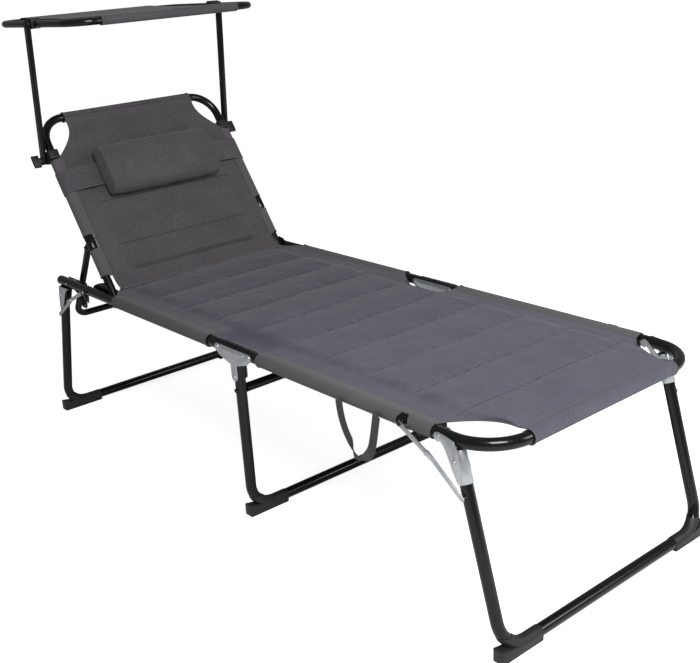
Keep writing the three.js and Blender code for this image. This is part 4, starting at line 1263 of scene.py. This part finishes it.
def backrest_puff(along, across):
    if along < crease_top:
        return wrinkle(along, across, size=0.05, height=0.0012)
    taut_bar = smooth_share((back_length - 0.02 - along) / 0.05)
    taut_crease = smooth_share((along - crease_top) / 0.012)
    under_pillow = smooth_share((along - 0.165) / 0.04) * smooth_share((0.43 - along) / 0.03)
    crown = back_crown * (1 - 0.5 * under_pillow)
    return quilt_rise(along, across, back_quilt, crown, taut_bar * taut_crease)


back_rest = cloth_piece(
    "backrest_cloth", back_cloth, 168, cloth_columns, backrest_at, backrest_cut, puff=backrest_puff,
)
place(0.262, 0, rail_height)
on_backrest(curve_up, 0, back_level)
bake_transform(back_rest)
stand_for(back_rest, "backrest_sling")
print("backrest cloth faces", len(back_rest.data.polygons))

# %% [markdown]
# The canopy cloth is one sheet, sewn round both long bars of the ring. A flat panel would
# look like board, so it sags a few millimetres between the bars and has faint wrinkles.

# %% Canopy cloth
canopy_sleeve = canopy_radius + sleeve_gap + cloth_wall
canopy_sag = 0.006
canopy_cloth_half = 0.205
wrap = math.radians(300)
wrap_rows = 0.16


def canopy_at(u, v):
    across = (v - 0.5) * 2 * canopy_cloth_half
    if u < wrap_rows or u > 1 - wrap_rows:
        end = near_end if u < wrap_rows else far_end
        sign = -1 if u < wrap_rows else 1
        angle = (wrap_rows - min(u, 1 - u)) / wrap_rows * wrap
        along = end + sign * canopy_sleeve * math.sin(angle)
        flat = end + sign * angle * canopy_sleeve
        return on_canopy(along, across, canopy_sleeve * math.cos(angle)), (flat, across)
    share = (u - wrap_rows) / (1 - 2 * wrap_rows)
    along = near_end + share * (far_end - near_end)
    slack = 1 - (2 * share - 1) ** 2
    sag = canopy_sag * (0.7 + 0.3 * math.cos(across * 6))
    up = canopy_sleeve + (wrinkle(along, across, size=0.09, height=0.0016) - sag) * slack
    return on_canopy(along, across, up), (along, across)


canopy_sheet = cloth_piece(
    "canopy_cloth", plain_cloth, 110, 72, canopy_at, wall=0.0012, bound=False,
)
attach(canopy_sheet, "canopy")
stand_for(canopy_sheet, "canopy_fabric")

# %% [markdown]
# The pillow is a bolster with a round front, a flat back and flat ends. A cloth simulation
# could blow it up, but its section is simple. So a grid is bent round a rounded D and closed,
# its ends pull in a little, and small folds run in from the end seams.

# %% Places on the pillow
pillow_low = 0.255
pillow_high = 0.400
pillow_half = 0.172
pillow_offset = -0.007
pillow_base = 0.0207
pillow_centre = 0.019
front_depth = 0.040
rear_depth = 0.018
roundness = 0.72
pillow_around = 0.36
side_share = 0.84
end_bulge = 0.0045


def rounded(wave):
    return math.copysign(abs(wave) ** roundness, wave)


def pillow_section(turned, shrink):
    angle = turned * 2 * math.pi
    up = rounded(math.cos(angle)) * (pillow_high - pillow_low) / 2
    front = rounded(math.sin(angle))
    front *= front_depth if front > 0 else rear_depth
    centre_up = (pillow_low + pillow_high) / 2
    return centre_up + up * shrink, pillow_base + pillow_centre + front * shrink


def pillow_at(u, v):
    """u goes round the section. v goes across: in from one end, along the side, in again."""
    reach = (v - 0.5) * 2
    if abs(reach) <= side_share:
        y = reach / side_share
        pull = 1 - 0.05 * y ** 4
        across = pillow_offset + y * pillow_half
        crease = math.exp(-18 * (1 - abs(y)))
    else:
        inward = (abs(reach) - side_share) / (1 - side_share)
        pull = 0.95 * (1 - inward)
        bulge = end_bulge * math.sin(inward * math.pi / 2)
        across = pillow_offset + math.copysign(pillow_half + bulge, reach)
        crease = 0
    up, front = pillow_section(u, pull)
    front += wrinkle(up, across, size=0.012, height=0.0022) * crease
    front += wrinkle(up, across, size=0.05, height=0.0016)
    return on_backrest(up, across, max(front, pillow_base)), (u * pillow_around, across)


print("pillow is", round(pillow_high - pillow_low, 3), "high and", 2 * pillow_half, "wide")

# %% [markdown]
# The grid's two long edges meet along the top of the pillow, and each end closes to a point.
# Both are merged, so that the bolster is one closed skin.

# %% Pillow
pillow = cloth_grid("head_pillow", 64, 96, pillow_at)[0]
mode("EDIT")
bpy.ops.mesh.select_all(action="SELECT")
bpy.ops.mesh.remove_doubles(threshold=0.00005)
bpy.ops.mesh.normals_make_consistent(inside=False)
mode("OBJECT")
smooth(pillow, 50)
dress(pillow, pillow_cloth)
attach(pillow, "pillow")
stand_for(pillow, "pillow")
print("pillow faces", len(pillow.data.polygons))

# %% [markdown]
# A band of the pillow's cloth goes round the backrest and carries the pillow. It is one loop:
# straight in front, half round one tube, straight behind, and half round the other. In front
# it rises over the quilting.

# %% Band of the pillow
band_width = 0.066
band_from = 0.331 - band_width / 2
band_front = 0.0236
band_radius = 0.0160
band_rise = 0.05


def band_at(u, v):
    straight = 2 * back_half
    around = math.pi * band_radius
    path = u * 2 * (straight + around)
    up = band_from + v * band_width
    if path < straight:
        across = path - back_half
        rise = smooth_share((back_half - abs(across)) / band_rise)
        front = band_radius + (band_front - band_radius) * rise
    elif path < straight + around:
        angle = (path - straight) / band_radius
        across = back_half + band_radius * math.sin(angle)
        front = band_radius * math.cos(angle)
    elif path < 2 * straight + around:
        across = back_half - (path - straight - around)
        front = -band_radius
    else:
        angle = (path - 2 * straight - around) / band_radius
        across = -back_half - band_radius * math.sin(angle)
        front = -band_radius * math.cos(angle)
    return on_backrest(up, across, front), (path, v * band_width)


band = cloth_piece(
    "pillow_band_cloth", pillow_cloth, 180, 10, band_at, wall=0.0012, bound=False,
)
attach(band, "pillow")
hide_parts("pillow_band")
print("band faces", len(band.data.polygons))

# %% [markdown]
# The carry strap is a loop of webbing that hangs from the near sleeve. Two curves of four
# points meet at its low point. Near that point it twists, as webbing does, so the strip's
# width is worked out from the direction of the loop and a twist.

# %% Line of the carry strap
strap_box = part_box("carry_strap")
strap_low = strap_box[0].z + 0.002
strap_top = rail_height - 0.001
strap_from = strap_box[0].x + 0.011
strap_to = strap_box[1].x - 0.011
strap_y = centre_y - rail_half - 0.0240
bend_height = 0.345
low_x = strap_from + 0.58 * (strap_to - strap_from)
down_side = (
    (strap_from, strap_top), (strap_from + 0.004, bend_height),
    (low_x - 0.026, strap_low + 0.008), (low_x, strap_low),
)
up_side = (
    (low_x, strap_low), (low_x + 0.026, strap_low + 0.004),
    (strap_to - 0.014, bend_height), (strap_to, strap_top),
)


def strap_centre(share):
    points = down_side if share < 0.5 else up_side
    t = share * 2 if share < 0.5 else share * 2 - 1
    weights = [(1 - t) ** 3, 3 * (1 - t) ** 2 * t, 3 * (1 - t) * t ** 2, t ** 3]
    x = sum(weight * point[0] for weight, point in zip(weights, points))
    z = sum(weight * point[1] for weight, point in zip(weights, points))
    return Vector((x, strap_y, z))


print("strap hangs to", round(strap_low, 3), "above the floor")

# %% [markdown]
# The strip itself is a narrow cloth grid along that line. A curve with a flat bevel would do
# it too, but the grid gives the ribs their map in the same step.

# %% Carry strap
strap_width = 0.020
strap_length = 0.3
strap_twist = math.radians(65)
sideways = Vector((0, 1, 0))


def strap_at(u, v):
    way = (strap_centre(min(u + 0.01, 1)) - strap_centre(max(u - 0.01, 0))).normalized()
    twist = smooth_share(1 - abs(u - 0.5) * 4) * strap_twist
    width_way = sideways.cross(way) * math.cos(twist) + sideways * math.sin(twist)
    outward = sideways * -math.sin(twist) * strap_width / 2
    across = (v - 0.5) * strap_width
    return strap_centre(u) + outward + width_way * across, (u * strap_length, across)


strap = cloth_piece(
    "carry_strap_webbing", finishes["webbing"], 72, 6, strap_at, wall=0.0016, bound=False,
)
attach(strap, "seat_foot")
stand_for(strap, "carry_strap")

# %% [markdown]
# The floor is pale and wide. Light on a pale floor falls off towards the edges of the picture,
# and more lamps would wash out the object. So the floor glows for the camera alone, and the
# shadow still shows, because it darkens the part that the lamps light.

# %% Floor
white = (1, 1, 1, 1)


def pale_floor():
    pale = new_finish("pale_floor")
    camera_ray = pale.node("ShaderNodeLightPath", output="Is Camera Ray")
    diffuse = pale.node("ShaderNodeBsdfDiffuse", inputs={"Color": (0.9, 0.9, 0.9, 1)})
    glow_inputs = {"Color": white, "Strength": camera_ray * 0.82}
    glow = pale.node("ShaderNodeEmission", inputs=glow_inputs)
    both = pale.node("ShaderNodeAddShader", inputs={0: diffuse, 1: glow})
    pale.node("ShaderNodeOutputMaterial", inputs={"Surface": both})
    return pale.owner


deselect()
bpy.ops.mesh.primitive_plane_add(size=60, location=(0, 0, -0.0005))
floor = bpy.context.object
floor.name = "floor"
dress(floor, pale_floor())
print("floor", [round(side) for side in floor.dimensions])

# %% [markdown]
# Two soft square lamps light the lounger, both from beyond its foot end. The key lamp stands
# high on the camera's side. The fill lamp stands lower on the far side and opens the shadows.

# %% Lamps
aim = Vector((0, 0, 0.4))


def soft_lamp(name, at, size, power):
    deselect()
    bpy.ops.object.light_add(type="AREA", location=at)
    lamp = bpy.context.object
    lamp.name = name
    lamp.data.size = size
    lamp.data.energy = power
    lamp.rotation_euler = (aim - Vector(at)).to_track_quat("-Z", "Y").to_euler()
    print("lamp", name, "power", power)


soft_lamp("key_lamp", at=(2.3, -1.0, 2.5), size=1.2, power=91)
soft_lamp("fill_lamp", at=(2.8, 1.4, 1.7), size=1.2, power=33)

# %% [markdown]
# The world gives weak even light from all around. For the camera alone it is plain white, so
# that the background is white without more light on the object. Glossy tubes see the weak
# light, because a white surround turned their black coat grey.

# %% World
even_light = 0.22
studio = Finish(bpy.data.worlds.new("studio"))
bpy.context.scene.world = studio.owner
camera_ray = studio.node("ShaderNodeLightPath", output="Is Camera Ray")
even = studio.node("ShaderNodeBackground", inputs={"Color": white, "Strength": even_light})
backdrop = studio.node("ShaderNodeBackground", inputs={"Color": white, "Strength": 1.0})
chosen = studio.node("ShaderNodeMixShader", inputs={0: camera_ray, 1: even, 2: backdrop})
studio.node("ShaderNodeOutputWorld", inputs={"Surface": chosen})
bpy.context.scene.view_settings.view_transform = "Standard"
print("world nodes", len(studio.tree.nodes))

# %% [markdown]
